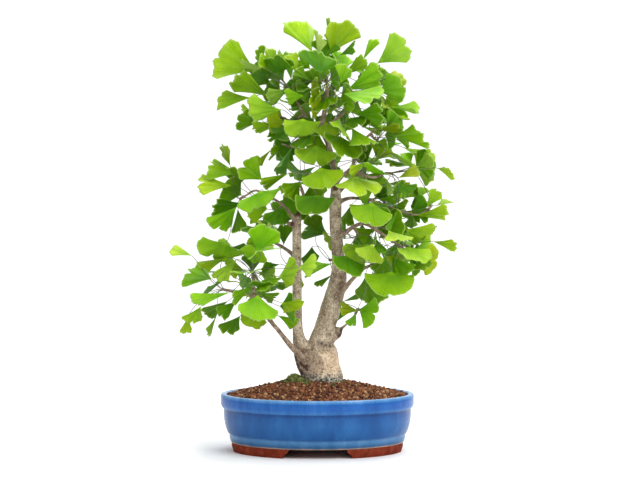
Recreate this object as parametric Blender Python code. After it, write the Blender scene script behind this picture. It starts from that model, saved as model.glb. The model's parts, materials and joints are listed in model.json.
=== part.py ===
"""Ginkgo bonsai in an oval glazed pot.

Metres, +Z up. The origin is on the ground under the middle of the whole tree.
The front is -Y. Routes and leaf places are written in millimetres.
"""
import math
import random

import bmesh
import bpy
from mathutils import Matrix, Vector
from mathutils.bvhtree import BVHTree

MM = 0.001
GAP = 0.3

# Middle of the whole tree seen from above, brought over the origin at the end
MIDDLE = (1.6, 11.3)

# Pot, in mm
POT_X = 7.3
POT_HALF_WIDTH = 144.8
POT_HALF_DEPTH = 112.0
POT_HEIGHT = 85.0
FOOT_HEIGHT = 13.4
FLOOR_TOP = 22.0
POT_SIDES = 30
DEEPEST_INSET = 36.0
FOOT_INSET = 16.2
FOOT_WALL = 17.0
FRONT_GAP_HALF = 50.0
SIDE_GAP_HALF = 24.0
DRAIN_X = 58.0
DRAIN_RADIUS = 11.0

# Outside of the pot from the rim down, then inside from the floor up: inset, height
POT_PROFILE = (
    (1.6, 85.0), (0.0, 82.6), (0.0, 69.5), (1.4, 66.2), (3.9, 63.2), (4.4, 58.0), (4.8, 48.0),
    (7.6, 34.0), (10.6, 26.8), (12.6, 25.2), (12.8, 22.4), (15.2, 13.4),
)
POT_INSIDE = ((24.0, 22.0), (17.0, 29.0), (12.0, 46.0), (10.6, 66.0), (8.6, 84.0), (7.2, 85.0))

# Soil, in mm
SOIL_EDGE = 80.5
SOIL_RISE = 27.0
SOIL_POWER = 1.35
SOIL_RINGS = (0.26, 0.42, 0.6, 0.8)
GRAIN_RELIEF = 1.3
TRUNK_HOLE = (16.5, 2.0, 30.5)
STUMP_BOTTOM = 72.0

# Drainage screens, in mm
SCREEN_SIDE = 36.0
SCREEN_THICKNESS = 1.6
SCREEN_CELLS = 3
SCREEN_HOLE = 8.0

# Leaves, in mm and degrees
BLADE_THICKNESS = 0.75
STALK_HALF_WIDTH = 0.65
STALK_STEPS = 2
STALK_OFFSET = 1.0
OWN_SHARE = 0.7
SPUR_LENGTH = 9.0
SPUR_RADIUS = 2.3
SPREAD_TURN = 24.0
SPREAD_LEAST = 62.0
SPREAD_TURNED_MOST = 110.0
SPREAD_MOST = 165.0
REACH_GAIN = 1.15
CLEAR_THICKNESS = 2.6
FLATNESS = 0.3
FLAT_HALF_MOST = 0.8
CORNER_ROUNDING = 0.04
CORNER_SHARE = 0.93

# Places across a leaf's edge from one side corner to the other, with the cut in the middle
EDGE = (-1.0, -0.64, -0.13, 0.0, 0.13, 0.64, 1.0)
CUT_HALF = 0.13

# Where leaves may stand, in mm from their shoot, and how their stalks may bend
SEED = 7
FRONT_OFFSET = (-62, -30)
LEVEL_OFFSET = (-14, 14)
BACK_OFFSET = (22, 46)
BACK_SHOOT_DEPTH = 30
DEPTH_STEPS = (0, -6, 6, -12, 12, -18, 18, -24, 24, -32, 32, -40, 40, -50, 50, 60, 70)
STALK_BENDS = (
    (0.30, 0.30, 0, 0), (0.45, 0.20, 0, 0), (0.15, 0.45, 0, 0), (0.3, 0.3, 9, 0), (0.3, 0.3, -9, 0),
    (0.3, 0.3, 0, 9), (0.3, 0.3, 0, -9), (0.3, 0.3, 16, 8), (0.3, 0.3, -16, -8), (0.5, 0.5, 12, -12),
    (0.5, 0.5, -12, 12),
)
# Leaves that no front view shows: how many on each shoot behind, and one on every few of the others
BACK_LEAVES = 4
NEAR_EVERY = 6

UNION_SOLVER = "MANIFOLD"

# Where a viewer stands, to carry a place seen from the front to its own depth
EYE_DISTANCE = 2100.0
EYE_HEIGHT = 314.0

# Wood: name, sides, then x, y, z, radius down the route
WOOD = (
    ("trunk", 12, (
        (16.5, 2, 72, 30), (16.5, 2, 106, 30), (14.5, 2, 112, 28.8), (13.5, 2, 124, 27.4),
        (14, 1, 137, 25.4), (13.5, 1, 149, 22.7), (11.6, 0, 158, 18.6), (12, 0, 166, 16.2),
        (15.2, 1, 175, 14.9), (21, 2, 191, 15.2), (27.3, 4, 212, 15.2), (33.6, 6, 233, 14.2),
        (38.6, 7, 255, 13), (39.5, 6, 276, 10.5), (37, 4, 307, 9.2), (34.5, 2, 339, 9.2),
        (34.5, 0, 370, 9.0), (34.6, -1, 386, 7.8), (33, -2, 398, 6.0), (30.5, -2, 430, 4.4),
        (23, -1, 460, 4.2), (13.5, 0, 484, 5.6), (17, 1, 500, 4.0), (20.8, 1, 528, 3.4),
        (22, 1, 541, 2.6))),
    ("left trunk", 10, (
        (9, 0, 92, 16), (4, -1, 112, 17), (-3, -2, 124, 18.6), (-8.6, -3, 137, 17.8),
        (-13.5, -4, 149, 15.5), (-17.5, -5, 158, 12.4), (-21, -6, 171, 8.8), (-22.6, -7, 192, 7.5),
        (-23.2, -8, 255, 7.1), (-23.4, -9, 320, 7.0), (-23.6, -9, 347, 7.0), (-23.4, -9, 352, 5.2))),
    ("lower left", 5, (
        (-8, -14, 129, 6), (-15, -22, 139, 4.4), (-32, -27, 156, 3.6), (-50, -27, 180, 3.4), (-64, -25, 196, 3.2),
        (-82, -24, 222, 2.9), (-87, -22, 241, 2.6), (-88, -20, 256, 2.2))),
    ("lower left twig", 4, (
        (-83, -24, 224, 2.4), (-98, -20, 236, 2.0), (-114, -14, 236, 1.9), (-127, -10, 239, 1.7))),
    ("lower back twig", 4, (
        (-58, -24, 190, 2.6), (-70, 4, 206, 2.1), (-86, 32, 226, 1.9), (-98, 48, 240, 1.7))),
    ("burl", 8, ((28, -2, 172, 11), (36, -4, 176, 9.6), (41, -6, 179, 6.0))),
    ("burl twig", 4, ((37, -5, 177, 2.4), (54, -6, 191, 1.6), (64, -4, 203, 1.6))),
    ("right low", 5, (
        (36, 2, 228, 6.2), (45, -8, 238, 4.4), (57, -14, 253, 3.3), (68, -18, 265, 3.1),
        (76, -20, 272, 2.6), (85, -20, 276, 2.2))),
    ("right low back", 4, (
        (40, 6, 262, 4.4), (58, 26, 276, 2.8), (80, 46, 290, 2.2), (96, 58, 296, 1.9))),
    ("right middle", 5, (
        (35, 0, 320, 6.4), (47, -5, 324, 4.2), (61, -9, 334, 3.2), (75, -14, 339, 3.0),
        (88, -18, 334, 2.8), (102, -22, 324, 2.4), (124, -20, 310, 2.0))),
    ("right far", 5, (
        (34, 2, 368, 5.0), (54, 8, 377, 2.8), (78, 12, 376, 2.3), (102, 10, 370, 2.0),
        (126, 8, 360, 1.8), (156, 4, 352, 1.6), (172, 2, 359, 1.4))),
    ("right upper", 5, (
        (33, -2, 396, 4.6), (44, 6, 410, 3.2), (60, 12, 425, 2.8), (64, 14, 444, 2.6),
        (74, 12, 462, 2.2), (87, 10, 474, 1.9), (104, 8, 492, 1.6))),
    ("right upper twig", 4, (
        (58, 11, 423, 2.8), (76, 4, 412, 2.3), (94, -4, 408, 2.0), (108, -6, 414, 1.8))),
    ("crown right", 5, (
        (14, 0, 482, 3.6), (34, -4, 494, 2.4), (56, -8, 512, 1.9), (68, -6, 526, 1.7), (80, -2, 538, 1.5))),
    ("crown left", 5, (
        (13, 0, 486, 3.6), (-6, -4, 494, 2.4), (-20, -8, 516, 1.9), (-27, -8, 530, 1.6))),
    ("left high", 5, (
        (14, 0, 480, 3.6), (-4, 6, 481, 2.4), (-24, 4, 486, 1.9), (-40, 0, 496, 1.6))),
    ("left middle", 5, (
        (29, -2, 432, 3.4), (8, -8, 440, 2.4), (-14, -12, 448, 2.0), (-32, -12, 453, 1.7),
        (-46, -10, 458, 1.5))),
    ("left shoulder", 5, (
        (-23.5, -9, 338, 4.0), (-36, -14, 358, 2.6), (-52, -18, 372, 2.1), (-74, -20, 384, 1.9),
        (-86, -18, 388, 1.8), (-100, -16, 380, 1.6))),
    ("left shoulder upright", 5, (
        (-23, -9, 344, 4.2), (-18, -6, 366, 3.0), (-14, -2, 382, 2.6), (-18, 2, 396, 2.0))),
    ("left stub", 5, ((-25, -9, 337, 4.4), (-33, -11, 338, 3.8), (-37, -12, 340, 3.2))),
    ("back low", 5, (
        (-23.3, -8, 286, 4.6), (-34, 14, 296, 3.2), (-50, 40, 306, 2.6), (-64, 60, 312, 2.0))),
    ("back middle", 5, (
        (34.5, 1, 350, 5.4), (30, 22, 362, 3.6), (16, 46, 378, 2.8), (4, 66, 388, 2.2))),
    ("back right", 5, (
        (34, -1, 382, 5.0), (48, 20, 396, 3.4), (66, 44, 414, 2.6), (80, 62, 424, 2.0))),
    ("back high", 5, (
        (22, -1, 464, 4.0), (16, 18, 474, 3.0), (8, 40, 486, 2.4), (0, 56, 496, 2.0))),
    ("front middle", 5, (
        (34, -2, 392, 4.6), (26, -20, 402, 3.0), (14, -36, 408, 2.4), (4, -46, 410, 1.9))),
)

# Short shoots that carry the bunches: name, then the place on the wood
SHOOTS = (
    ("crown_top", (22, 1, 541)), ("crown_front", (20, 0, 520)), ("crown_right_tip", (80, -2, 538)),
    ("crown_right_mid", (56, -8, 512)), ("crown_left_tip", (-27, -8, 530)),
    ("crown_left_mid", (-12, -6, 503)),
    ("crown_fork", (13.5, 0, 486)), ("left_high_tip", (-40, 0, 496)), ("left_high_mid", (-14, 5, 483)),
    ("left_middle_tip", (-46, -10, 458)), ("left_middle_mid", (-14, -12, 448)),
    ("right_upper_tip", (104, 8, 492)), ("right_upper_mid", (62, 13, 436)),
    ("right_upper_bend", (87, 10, 474)),
    ("right_twig_tip", (108, -6, 414)),
    ("right_far_tip", (172, 2, 359)), ("right_far_mid", (126, 8, 360)), ("right_far_inner", (78, 12, 376)),
    ("right_middle_tip", (124, -20, 310)), ("right_middle_mid", (92, -19, 331)),
    ("right_middle_inner", (61, -9, 334)),
    ("right_low_tip", (85, -20, 276)), ("burl_tip", (64, -4, 203)),
    ("front_middle_tip", (4, -46, 410)), ("left_shoulder_tip", (-100, -16, 380)),
    ("left_shoulder_mid", (-74, -20, 384)), ("left_shoulder_inner", (-44, -16, 366)),
    ("left_upright_tip", (-18, 2, 396)), ("trunk_side_low", (36, 5, 284)),
    ("left_trunk_side", (-23.2, -8, 272)),
    ("lower_left_tip", (-88, -20, 256)), ("lower_left_mid", (-84, -24, 230)),
    ("lower_left_far", (-127, -10, 239)),
    ("lower_back_tip", (-98, 48, 240)), ("back_low_tip", (-64, 60, 312)), ("back_middle_tip", (4, 66, 388)),
    ("back_right_tip", (80, 62, 424)), ("back_high_tip", (0, 56, 496)),
    ("right_low_back_tip", (96, 58, 296)),
)

# Leaves as seen from the front, in mm: the stalk end, then both side corners of the fan.
# f stands in front of its shoot, s level with it, b behind it.
LEAVES = (
    # The crown
    (-85, 568, -148, 560, -114, 608, "s"), (-76, 573, -104, 585, -92, 568, "f"),
    (-76, 574, -88, 590, -72, 603, "b"), (-55, 568, -78, 572, -56, 600, "s"),
    (-32, 556, -54, 591, -28, 592, "b"), (-20, 561, -42, 580, -25, 591, "f"),
    (-6, 555, -26, 558, -16, 573, "f"), (-1, 597, -46, 630, 5, 639, "s"),
    (8, 590, 2, 626, 18, 612, "f"), (28, 594, 14, 622, 71, 627, "s"), (42, 592, 59, 612, 59, 597, "b"),
    (11, 564, -20, 592, 38, 579, "f"), (46, 567, 24, 592, 59, 585, "b"),
    (48, 562, 66, 588, 80, 574, "s"), (42, 550, 36, 573, 60, 562, "f"),
    (76, 585, 83, 612, 98, 608, "b"), (98, 580, 118, 620, 148, 584, "s"),
    (23, 602, 22, 639, 28, 638, "b"), (14, 537, -10, 558, 11, 564, "b"),
    (22, 534, 30, 564, 50, 552, "b"), (-10, 528, -43, 534, -25, 552, "b"), (26, 510, 14, 486, 47, 483, "b"),
    (14, 516, -19, 534, -25, 516, "b"), (48, 514, 26, 489, 59, 483, "b"),
    # Right of the crown
    (52, 540, 93, 576, 98, 540, "f"), (88, 540, 95, 574, 110, 552, "b"),
    (101, 537, 112, 562, 132, 522, "s"), (107, 550, 118, 570, 136, 548, "b"),
    (47, 534, 65, 512, 107, 544, "f"), (44, 526, -19, 516, 62, 508, "f"),
    (29, 513, 11, 528, 32, 534, "b"), (65, 495, 74, 504, 101, 483, "b"),
    (101, 534, 118, 516, 102, 516, "b"), (116, 514, 155, 516, 148, 502, "s"),
    (120, 496, 134, 502, 143, 494, "s"), (100, 502, 119, 496, 108, 489, "b"),
    (100, 480, 120, 489, 130, 472, "s"), (76, 484, 100, 483, 94, 472, "b"),
    (68, 504, 92, 518, 100, 488, "f"), (59, 482, 60, 459, 98, 465, "f"),
    (40, 496, 32, 490, 58, 468, "f"), (89, 510, 80, 528, 107, 522, "b"),
    # Left of the crown
    (-14, 496, -42, 492, 11, 492, "f"), (-36, 478, -62, 477, -60, 462, "s"),
    (-48, 489, -86, 489, -76, 476, "s"), (-48, 510, -91, 525, -80, 490, "f"),
    (-84, 490, -97, 506, -108, 478, "s"), (-92, 507, -103, 516, -103, 506, "b"),
    (-94, 528, -132, 540, -136, 508, "s"), (-66, 530, -122, 544, -94, 564, "s"),
    (-52, 520, -85, 525, -68, 513, "b"), (-37, 540, -64, 538, -55, 518, "f"),
    (-14, 531, -36, 540, -31, 520, "f"), (-1, 534, -16, 544, -10, 520, "b"),
    (-1, 522, -31, 525, -25, 513, "b"), (-34, 495, -61, 504, -55, 483, "b"),
    # High on the right
    (120, 470, 149, 478, 173, 448, "s"), (137, 453, 180, 447, 172, 422, "b"),
    (90, 459, 107, 466, 107, 448, "s"), (107, 453, 148, 428, 131, 441, "f"),
    (148, 426, 131, 438, 150, 442, "b"), (148, 426, 114, 436, 124, 422, "s"),
    (130, 408, 149, 428, 155, 410, "s"), (188, 422, 196, 424, 210, 406, "s"),
    (114, 399, 137, 406, 143, 387, "s"), (110, 405, 119, 396, 114, 384, "f"),
    (102, 376, 130, 384, 122, 368, "s"), (120, 364, 140, 374, 134, 360, "b"),
    (172, 364, 173, 387, 194, 378, "s"), (186, 366, 196, 375, 208, 369, "b"),
    (156, 351, 196, 364, 192, 342, "s"), (113, 357, 138, 362, 149, 345, "b"),
    (83, 432, 59, 422, 66, 412, "f"), (114, 412, 82, 430, 89, 417, "f"),
    (80, 424, 70, 447, 88, 452, "b"), (106, 410, 89, 387, 119, 378, "b"),
    (108, 394, 144, 396, 131, 376, "s"), (80, 364, 59, 387, 89, 390, "b"), (48, 447, 74, 459, 71, 432, "b"),
    # Middle of the right
    (90, 370, 56, 366, 120, 351, "f"), (125, 356, 112, 333, 136, 345, "s"),
    (150, 352, 136, 339, 155, 338, "b"), (140, 330, 182, 340, 158, 308, "s"),
    (114, 328, 108, 318, 149, 320, "f"), (182, 312, 208, 314, 209, 297, "s"),
    (158, 285, 179, 308, 172, 261, "s"), (142, 304, 124, 297, 176, 296, "f"),
    (161, 290, 154, 274, 179, 284, "f"), (90, 308, 66, 302, 107, 285, "f"),
    (83, 308, 48, 308, 78, 274, "s"), (50, 291, 28, 290, 77, 274, "f"),
    (96, 315, 94, 298, 113, 303, "s"), (108, 288, 88, 276, 118, 266, "s"),
    (120, 290, 118, 267, 149, 273, "s"), (118, 267, 80, 261, 155, 258, "f"),
    (80, 261, 62, 236, 113, 232, "b"), (95, 330, 71, 336, 76, 315, "b"),
    (116, 333, 137, 336, 136, 321, "b"), (59, 368, 44, 351, 59, 339, "b"),
    (119, 351, 128, 324, 101, 324, "b"), (74, 339, 59, 312, 92, 312, "b"),
    (107, 288, 94, 264, 130, 264, "b"), (100, 350, 128, 339, 107, 322, "b"), (128, 312, 107, 297, 137, 288, "b"),
    # Below the burl
    (70, 210, 92, 228, 77, 183, "s"), (46, 222, 64, 232, 65, 224, "b"),
    (68, 208, 48, 222, 47, 204, "s"), (65, 204, 52, 192, 68, 190, "f"),
    (56, 206, 40, 194, 41, 208, "b"),
    # In front of the trunk
    (42, 470, 16, 471, 72, 453, "f"), (5, 456, -25, 450, 35, 446, "f"),
    (0, 476, -31, 460, -1, 456, "s"), (4, 424, -32, 416, -14, 408, "s"),
    (11, 423, -16, 405, 44, 418, "f"), (60, 410, 36, 396, 101, 404, "f"),
    (8, 382, -24, 378, 35, 375, "f"), (-14, 400, -46, 393, -32, 382, "s"),
    (-19, 366, -36, 354, -7, 352, "b"), (22, 324, -14, 312, 12, 344, "b"),
    (-1, 304, -16, 285, 10, 290, "s"), (29, 279, 5, 279, -6, 258, "s"), (29, 262, 6, 250, 18, 249, "b"),
    (-22, 444, -49, 432, -37, 465, "b"), (8, 324, -13, 339, 14, 348, "b"), (-19, 402, -43, 378, -19, 369, "b"),
    # High on the left
    (-110, 414, -142, 438, -152, 410, "s"), (-122, 396, -163, 414, -163, 384, "s"),
    (-76, 405, -108, 402, -84, 438, "s"), (-62, 450, -82, 438, -78, 429, "b"),
    (-43, 454, -56, 452, -62, 434, "s"), (-31, 453, -54, 426, -46, 417, "f"),
    (-37, 414, -73, 406, -64, 394, "s"), (-78, 388, -110, 372, -50, 393, "f"),
    (-104, 369, -136, 376, -145, 348, "s"), (-115, 363, -157, 344, -122, 333, "f"),
    (-112, 360, -122, 330, -100, 339, "s"), (-44, 364, -72, 352, -34, 345, "s"),
    (-72, 351, -85, 352, -90, 339, "b"),
    # Middle of the left
    (-84, 297, -97, 328, -50, 315, "f"), (-82, 296, -97, 290, -50, 306, "f"),
    (-43, 308, -55, 326, -31, 332, "b"), (-50, 260, -32, 286, -38, 242, "f"),
    (-20, 273, -2, 292, -8, 260, "f"), (-19, 266, -28, 246, -14, 248, "s"),
    (-50, 278, -67, 280, -76, 262, "s"), (-130, 310, -166, 318, -103, 294, "f"),
    (-122, 306, -140, 312, -130, 315, "b"), (-122, 303, -104, 309, -106, 298, "b"),
    (-182, 291, -199, 306, -210, 294, "s"), (-127, 288, -166, 284, -160, 272, "s"),
    (-152, 256, -164, 279, -190, 246, "s"), (-114, 285, -148, 268, -130, 254, "s"),
    (-96, 266, -124, 266, -78, 268, "f"), (-90, 267, -104, 286, -74, 286, "b"),
    (-104, 270, -122, 288, -115, 258, "b"), (-67, 324, -94, 315, -85, 297, "b"),
    # Low on the left
    (-124, 236, -180, 228, -160, 216, "f"), (-128, 222, -166, 214, -146, 201, "b"),
    (-168, 214, -192, 198, -166, 195, "s"), (-186, 200, -199, 180, -181, 182, "s"),
    (-144, 201, -157, 178, -151, 176, "b"), (-109, 200, -140, 186, -108, 180, "s"),
    (-82, 232, -112, 216, -54, 204, "f"), (-88, 246, -112, 240, -115, 219, "f"),
    (-80, 234, -54, 237, -67, 222, "s"), (-46, 220, -18, 226, -43, 204, "f"),
    (-52, 201, -24, 200, -34, 184, "s"), (-85, 214, -106, 201, -70, 190, "s"),
    (-115, 222, -142, 213, -124, 198, "b"),
)


def seen(x, z, y):
    """A place seen from the front, carried along the viewer's line of sight to depth y."""
    scale = (EYE_DISTANCE + y) / EYE_DISTANCE
    return Vector((x * scale, y, EYE_HEIGHT + (z - EYE_HEIGHT) * scale))


class Leaf:
    """One fan blade: where its stalk joins, how it lies, and how its edge runs."""

    def __init__(self, base, heading, side, spread, reach, rng):
        self.base = base
        self.heading = heading
        self.side = side
        self.normal = heading.cross(side).normalized()
        self.spread = spread
        self.reach = reach
        self.cut = rng.uniform(0.06, 0.34)
        self.cup = rng.uniform(-0.26, 0.16)
        self.phase = rng.uniform(0, math.tau)

    def rim(self, station):
        """Distance from the stalk end to the edge."""
        half = min(self.spread / 2, FLAT_HALF_MOST)
        flat = FLATNESS * (1 - math.cos(half) / math.cos(half * station))
        lobes = 1.0 - flat - CORNER_ROUNDING * station ** 8 + 0.03 * math.sin(8.0 * station + self.phase)
        notch = self.cut * max(0.0, 1.0 - abs(station) / CUT_HALF)
        return self.reach * (lobes - notch)

    def point(self, station, share):
        """A point of the blade: station across the fan, share of the way out to the edge."""
        angle = station * self.spread / 2
        radius = self.rim(station) * share
        wave = self.cup * (station ** 2 - 0.3) + 0.045 * math.sin(9.5 * station + 2 * self.phase)
        flat = self.heading * math.cos(angle) + self.side * math.sin(angle)
        return self.base + flat * radius + self.normal * (wave * self.reach * share ** 1.4)


def leaf_from_corners(corners, depth, toward, rng):
    """The true fan that looks as narrow or short as its three places seen from the front."""
    base = seen(corners[0], corners[1], depth)
    left = seen(corners[2], corners[3], depth) - base
    right = seen(corners[4], corners[5], depth) - base
    looks = left.angle(right)
    spread = max(looks, min(looks + math.radians(SPREAD_TURN), math.radians(SPREAD_TURNED_MOST)))
    spread = min(max(spread, math.radians(SPREAD_LEAST)), math.radians(SPREAD_MOST))
    across = left.cross(right).length
    mix = left.length_squared + right.length_squared - 2 * left.dot(right) * math.cos(spread)
    sine = math.sin(spread) ** 2
    arm = (mix + math.sqrt(max(0.0, mix ** 2 - 4 * sine * across ** 2))) / (2 * sine)
    longest = max(left.length_squared, right.length_squared)
    arm = min(max(arm, longest), longest * REACH_GAIN ** 2)
    left_rise = math.sqrt(max(0.0, arm - left.length_squared))
    right_rise = math.sqrt(max(0.0, arm - right.length_squared))
    left.y = toward * left_rise
    right.y = toward * right_rise if looks > spread else -toward * right_rise
    spread = left.angle(right)
    heading = (left + right).normalized()
    side = (right - left).normalized()
    return Leaf(base, heading, side, spread, math.sqrt(arm) / CORNER_SHARE, rng)


def leaf_behind(root, outward, rng):
    """A leaf that no front view shows, reaching back and out from its shoot."""
    away = (outward + Vector([rng.uniform(-0.9, 0.9) for _ in range(3)])).normalized()
    base = root + away * rng.uniform(34, 58)
    heading = away + Vector((rng.uniform(-0.5, 0.5), rng.uniform(-0.1, 0.5), rng.uniform(-0.9, 0.1)))
    heading.normalize()
    tilt = Vector((rng.uniform(-0.5, 0.5), rng.uniform(-0.6, 0.6), 1))
    side = heading.cross(tilt).normalized()
    return Leaf(base, heading, side, math.radians(rng.uniform(95, 135)), rng.uniform(29, 37), rng)


def leaf_solid(leaf, route, thickness):
    """A leaf in one piece: an edge spun into the fan, its hub drawn out along the stalk, made thick."""
    bm = bmesh.new()
    ends = [bm.verts.new((0.02, 0, 0)), bm.verts.new((1, 0, 0))]
    spoke = bm.edges.new(ends)
    steps = len(EDGE) - 1
    bmesh.ops.spin(bm, geom=ends + [spoke], cent=(0, 0, 0), axis=(0, 0, 1), angle=1.0, steps=steps)
    hubs = {-1: [], 1: []}
    for vert in bm.verts:
        step = round(math.atan2(vert.co.y, vert.co.x) * steps)
        if vert.co.length < 0.5:
            hubs[-1 if step < steps / 2 else 1].append(vert)
        else:
            vert.co = leaf.point(EDGE[step], 1)
    for sign, verts in hubs.items():
        bmesh.ops.pointmerge(bm, verts=verts, merge_co=leaf.base + leaf.side * sign * STALK_HALF_WIDTH)
    hub = [edge for edge in bm.edges if all((v.co - leaf.base).length < 1 for v in edge.verts)]
    heading = leaf.heading
    across = leaf.side
    for index in range(len(route) - 2, -1, -1):
        place = route[index]
        along = (route[index + 1] - route[max(index - 1, 0)]).normalized()
        across = heading.rotation_difference(along) @ across
        heading = along
        ribbon = bmesh.ops.extrude_edge_only(bm, edges=hub)["geom"]
        hub = [item for item in ribbon if isinstance(item, bmesh.types.BMEdge)]
        for vert in hub[0].verts:
            sign = 1 if (vert.co - route[index + 1]).dot(across) > 0 else -1
            vert.co = place + across * sign * STALK_HALF_WIDTH
    bmesh.ops.triangulate(bm, faces=bm.faces)
    bmesh.ops.recalc_face_normals(bm, faces=bm.faces)
    bm.normal_update()
    for vert in bm.verts:
        vert.co = vert.co + vert.normal * thickness / 2
    bmesh.ops.solidify(bm, geom=bm.faces[:], thickness=thickness)
    bmesh.ops.recalc_face_normals(bm, faces=bm.faces)
    return bm


def bent_rod(route, radii, sides):
    """A cone primitive cut into rings and bent along a route."""
    bm = bmesh.new()
    last = len(route) - 1
    bmesh.ops.create_cone(bm, cap_ends=True, segments=sides, radius1=1, radius2=1, depth=last)
    bmesh.ops.translate(bm, verts=bm.verts, vec=(0, 0, last / 2))
    for ring in range(1, last):
        everything = bm.verts[:] + bm.edges[:] + bm.faces[:]
        bmesh.ops.bisect_plane(bm, geom=everything, plane_co=(0, 0, ring), plane_no=(0, 0, 1))
    frames = []
    heading = Vector((0, 0, 1))
    turn = Matrix.Identity(3)
    for ring in range(last + 1):
        along = (route[min(ring + 1, last)] - route[max(ring - 1, 0)]).normalized()
        turn = heading.rotation_difference(along).to_matrix() @ turn
        heading = along
        frames.append(turn.copy())
    for vert in bm.verts:
        ring = round(vert.co.z)
        spoke = Vector((vert.co.x, vert.co.y, 0)) * radii[ring]
        vert.co = route[ring] + frames[ring] @ spoke
    return bm


def stalk_route(start, out, leaf, bend, steps):
    """A curve from the shoot to the blade, leaving along one and arriving along the other."""
    end = leaf.base
    length = (end - start).length
    first = start + out * length * bend[0]
    second = leaf.base - leaf.heading * length * bend[1] + Vector((bend[2], bend[3], 0))
    route = []
    for step in range(steps + 1):
        t = step / steps
        s = 1 - t
        route.append(start * s ** 3 + first * 3 * s * s * t + second * 3 * s * t * t + end * t ** 3)
    return route


def limbs():
    """Each limb of wood as its name, sides, route and radii."""
    return [
        (name, sides, [Vector(point[:3]) for point in route], [point[3] for point in route])
        for name, sides, route in WOOD]


def limb_at(place):
    """The axis point, direction and radius of the wood nearest a place, and whether it is a tip."""
    best = None
    for _, _, route, radii in limbs():
        for index in range(len(route) - 1):
            start, end = route[index], route[index + 1]
            share = (place - start).dot(end - start) / (end - start).length_squared
            share = min(max(share, 0), 1)
            point = start.lerp(end, share)
            distance = (point - place).length
            if best is None or distance < best[0]:
                radius = radii[index] + (radii[index + 1] - radii[index]) * share
                tip = index == len(route) - 2 and share > 0.9
                best = (distance, point, (end - start).normalized(), radius, tip)
    return best[1:]


class Shoot:
    """A short shoot: a woody spur and the leaves that it carries."""

    def __init__(self, name, place):
        self.name = name
        self.root = Vector(place)
        self.rows = []
        self.leaves = []
        self.stalks = []
        self.shapes = []
        self.wholes = []

    def aim(self):
        """Turn the spur toward the middle of its leaves, and away from the wood that it grows on."""
        self.root, along, radius, tip = limb_at(self.root)
        wish = Vector((0, 0, 0.2))
        for leaf in self.leaves:
            wish += (leaf.base - self.root).normalized()
        wish.normalize()
        if tip:
            self.out = (along + wish * 0.8).normalized()
            start = GAP + SPUR_RADIUS * math.sin(self.out.angle(along))
        else:
            self.out = (wish - along * wish.dot(along)).normalized()
            start = GAP + radius
        self.foot = self.root + self.out * start
        self.tip = self.foot + self.out * SPUR_LENGTH

    def spur(self):
        return bent_rod([self.foot, self.tip], [SPUR_RADIUS, SPUR_RADIUS * 0.75], 5)


def tree_of(bm):
    """A search tree of a mesh, with its box, and the mesh freed."""
    tree = BVHTree.FromBMesh(bm)
    low = Vector([min(v.co[axis] for v in bm.verts) for axis in range(3)])
    high = Vector([max(v.co[axis] for v in bm.verts) for axis in range(3)])
    bm.free()
    return tree, low, high


def meets(one, others):
    """Whether one mesh crosses any of the others."""
    for other in others:
        if any(one[1][a] > other[2][a] or other[1][a] > one[2][a] for a in range(3)):
            continue
        if one[0].overlap(other[0]):
            return True
    return False


def carry_rows(shoots):
    """Hang each leaf of the table on the shoot that its stalk points back to."""
    for row in LEAVES:
        base = Vector((row[0], row[1]))
        heading = (Vector((row[2], row[3])) - base) + (Vector((row[4], row[5])) - base)
        stalk_end = base - heading.normalized() * 36
        best = None
        for shoot in shoots:
            if (shoot.root.y > BACK_SHOOT_DEPTH) and row[6] != "b":
                continue
            flat = Vector((shoot.root.x, shoot.root.z))
            cost = (flat - stalk_end).length + 0.8 * abs((flat - base).length - 40)
            if best is None or cost < best[0]:
                best = (cost, shoot)
        best[1].rows.append(row)


def swollen_wood(extra):
    """Search trees of the limbs, each thicker all round by extra."""
    return [
        tree_of(bent_rod(route, [radius + extra for radius in radii], sides)) for _, sides, route, radii in limbs()]


def settle(shoots):
    """Give every leaf a depth and a stalk that keep clear of the wood and of the other bunches."""
    rng = random.Random(SEED)
    carry_rows(shoots)
    offsets = {"f": FRONT_OFFSET, "s": LEVEL_OFFSET, "b": BACK_OFFSET}
    for index, shoot in enumerate(shoots):
        deep = shoot.root.y > BACK_SHOOT_DEPTH
        shoot.wishes = []
        for row in shoot.rows:
            offset = rng.uniform(*offsets["s" if deep else row[6]])
            toward = -1 if row[6] == "f" else rng.choice((-1, 1))
            shoot.wishes.append((row, shoot.root.y + offset, toward, rng.random()))
            shoot.leaves.append(leaf_from_corners(row, shoot.root.y + offset, toward, random.Random(1)))
        outward = Vector((shoot.root.x * 0.004, 1.0, 0.25))
        for _ in range(BACK_LEAVES if deep else index % NEAR_EVERY == 0):
            seed = rng.random()
            shoot.wishes.append((outward, 0, 0, seed))
            shoot.leaves.append(leaf_behind(shoot.root, outward, random.Random(seed)))
        shoot.aim()
    snug = swollen_wood(GAP / 3)
    for shoot in shoots:
        while meets(tree_of(shoot.spur()), snug):
            shoot.foot += shoot.out * GAP
            shoot.tip += shoot.out * GAP
    wood = swollen_wood(2 * GAP)
    spurs = [tree_of(shoot.spur()) for shoot in shoots]
    missed = 0
    for shoot in shoots:
        shoot.leaves = []
        fixed = wood + [spur for other, spur in zip(shoots, spurs) if other is not shoot]
        foreign = [shape for other in shoots if other is not shoot for shape in other.wholes]
        for wish in shoot.wishes:
            missed += not place_leaf(shoot, wish, fixed, foreign)
    print("leaves", sum(len(s.leaves) for s in shoots), "missed", missed)


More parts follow.
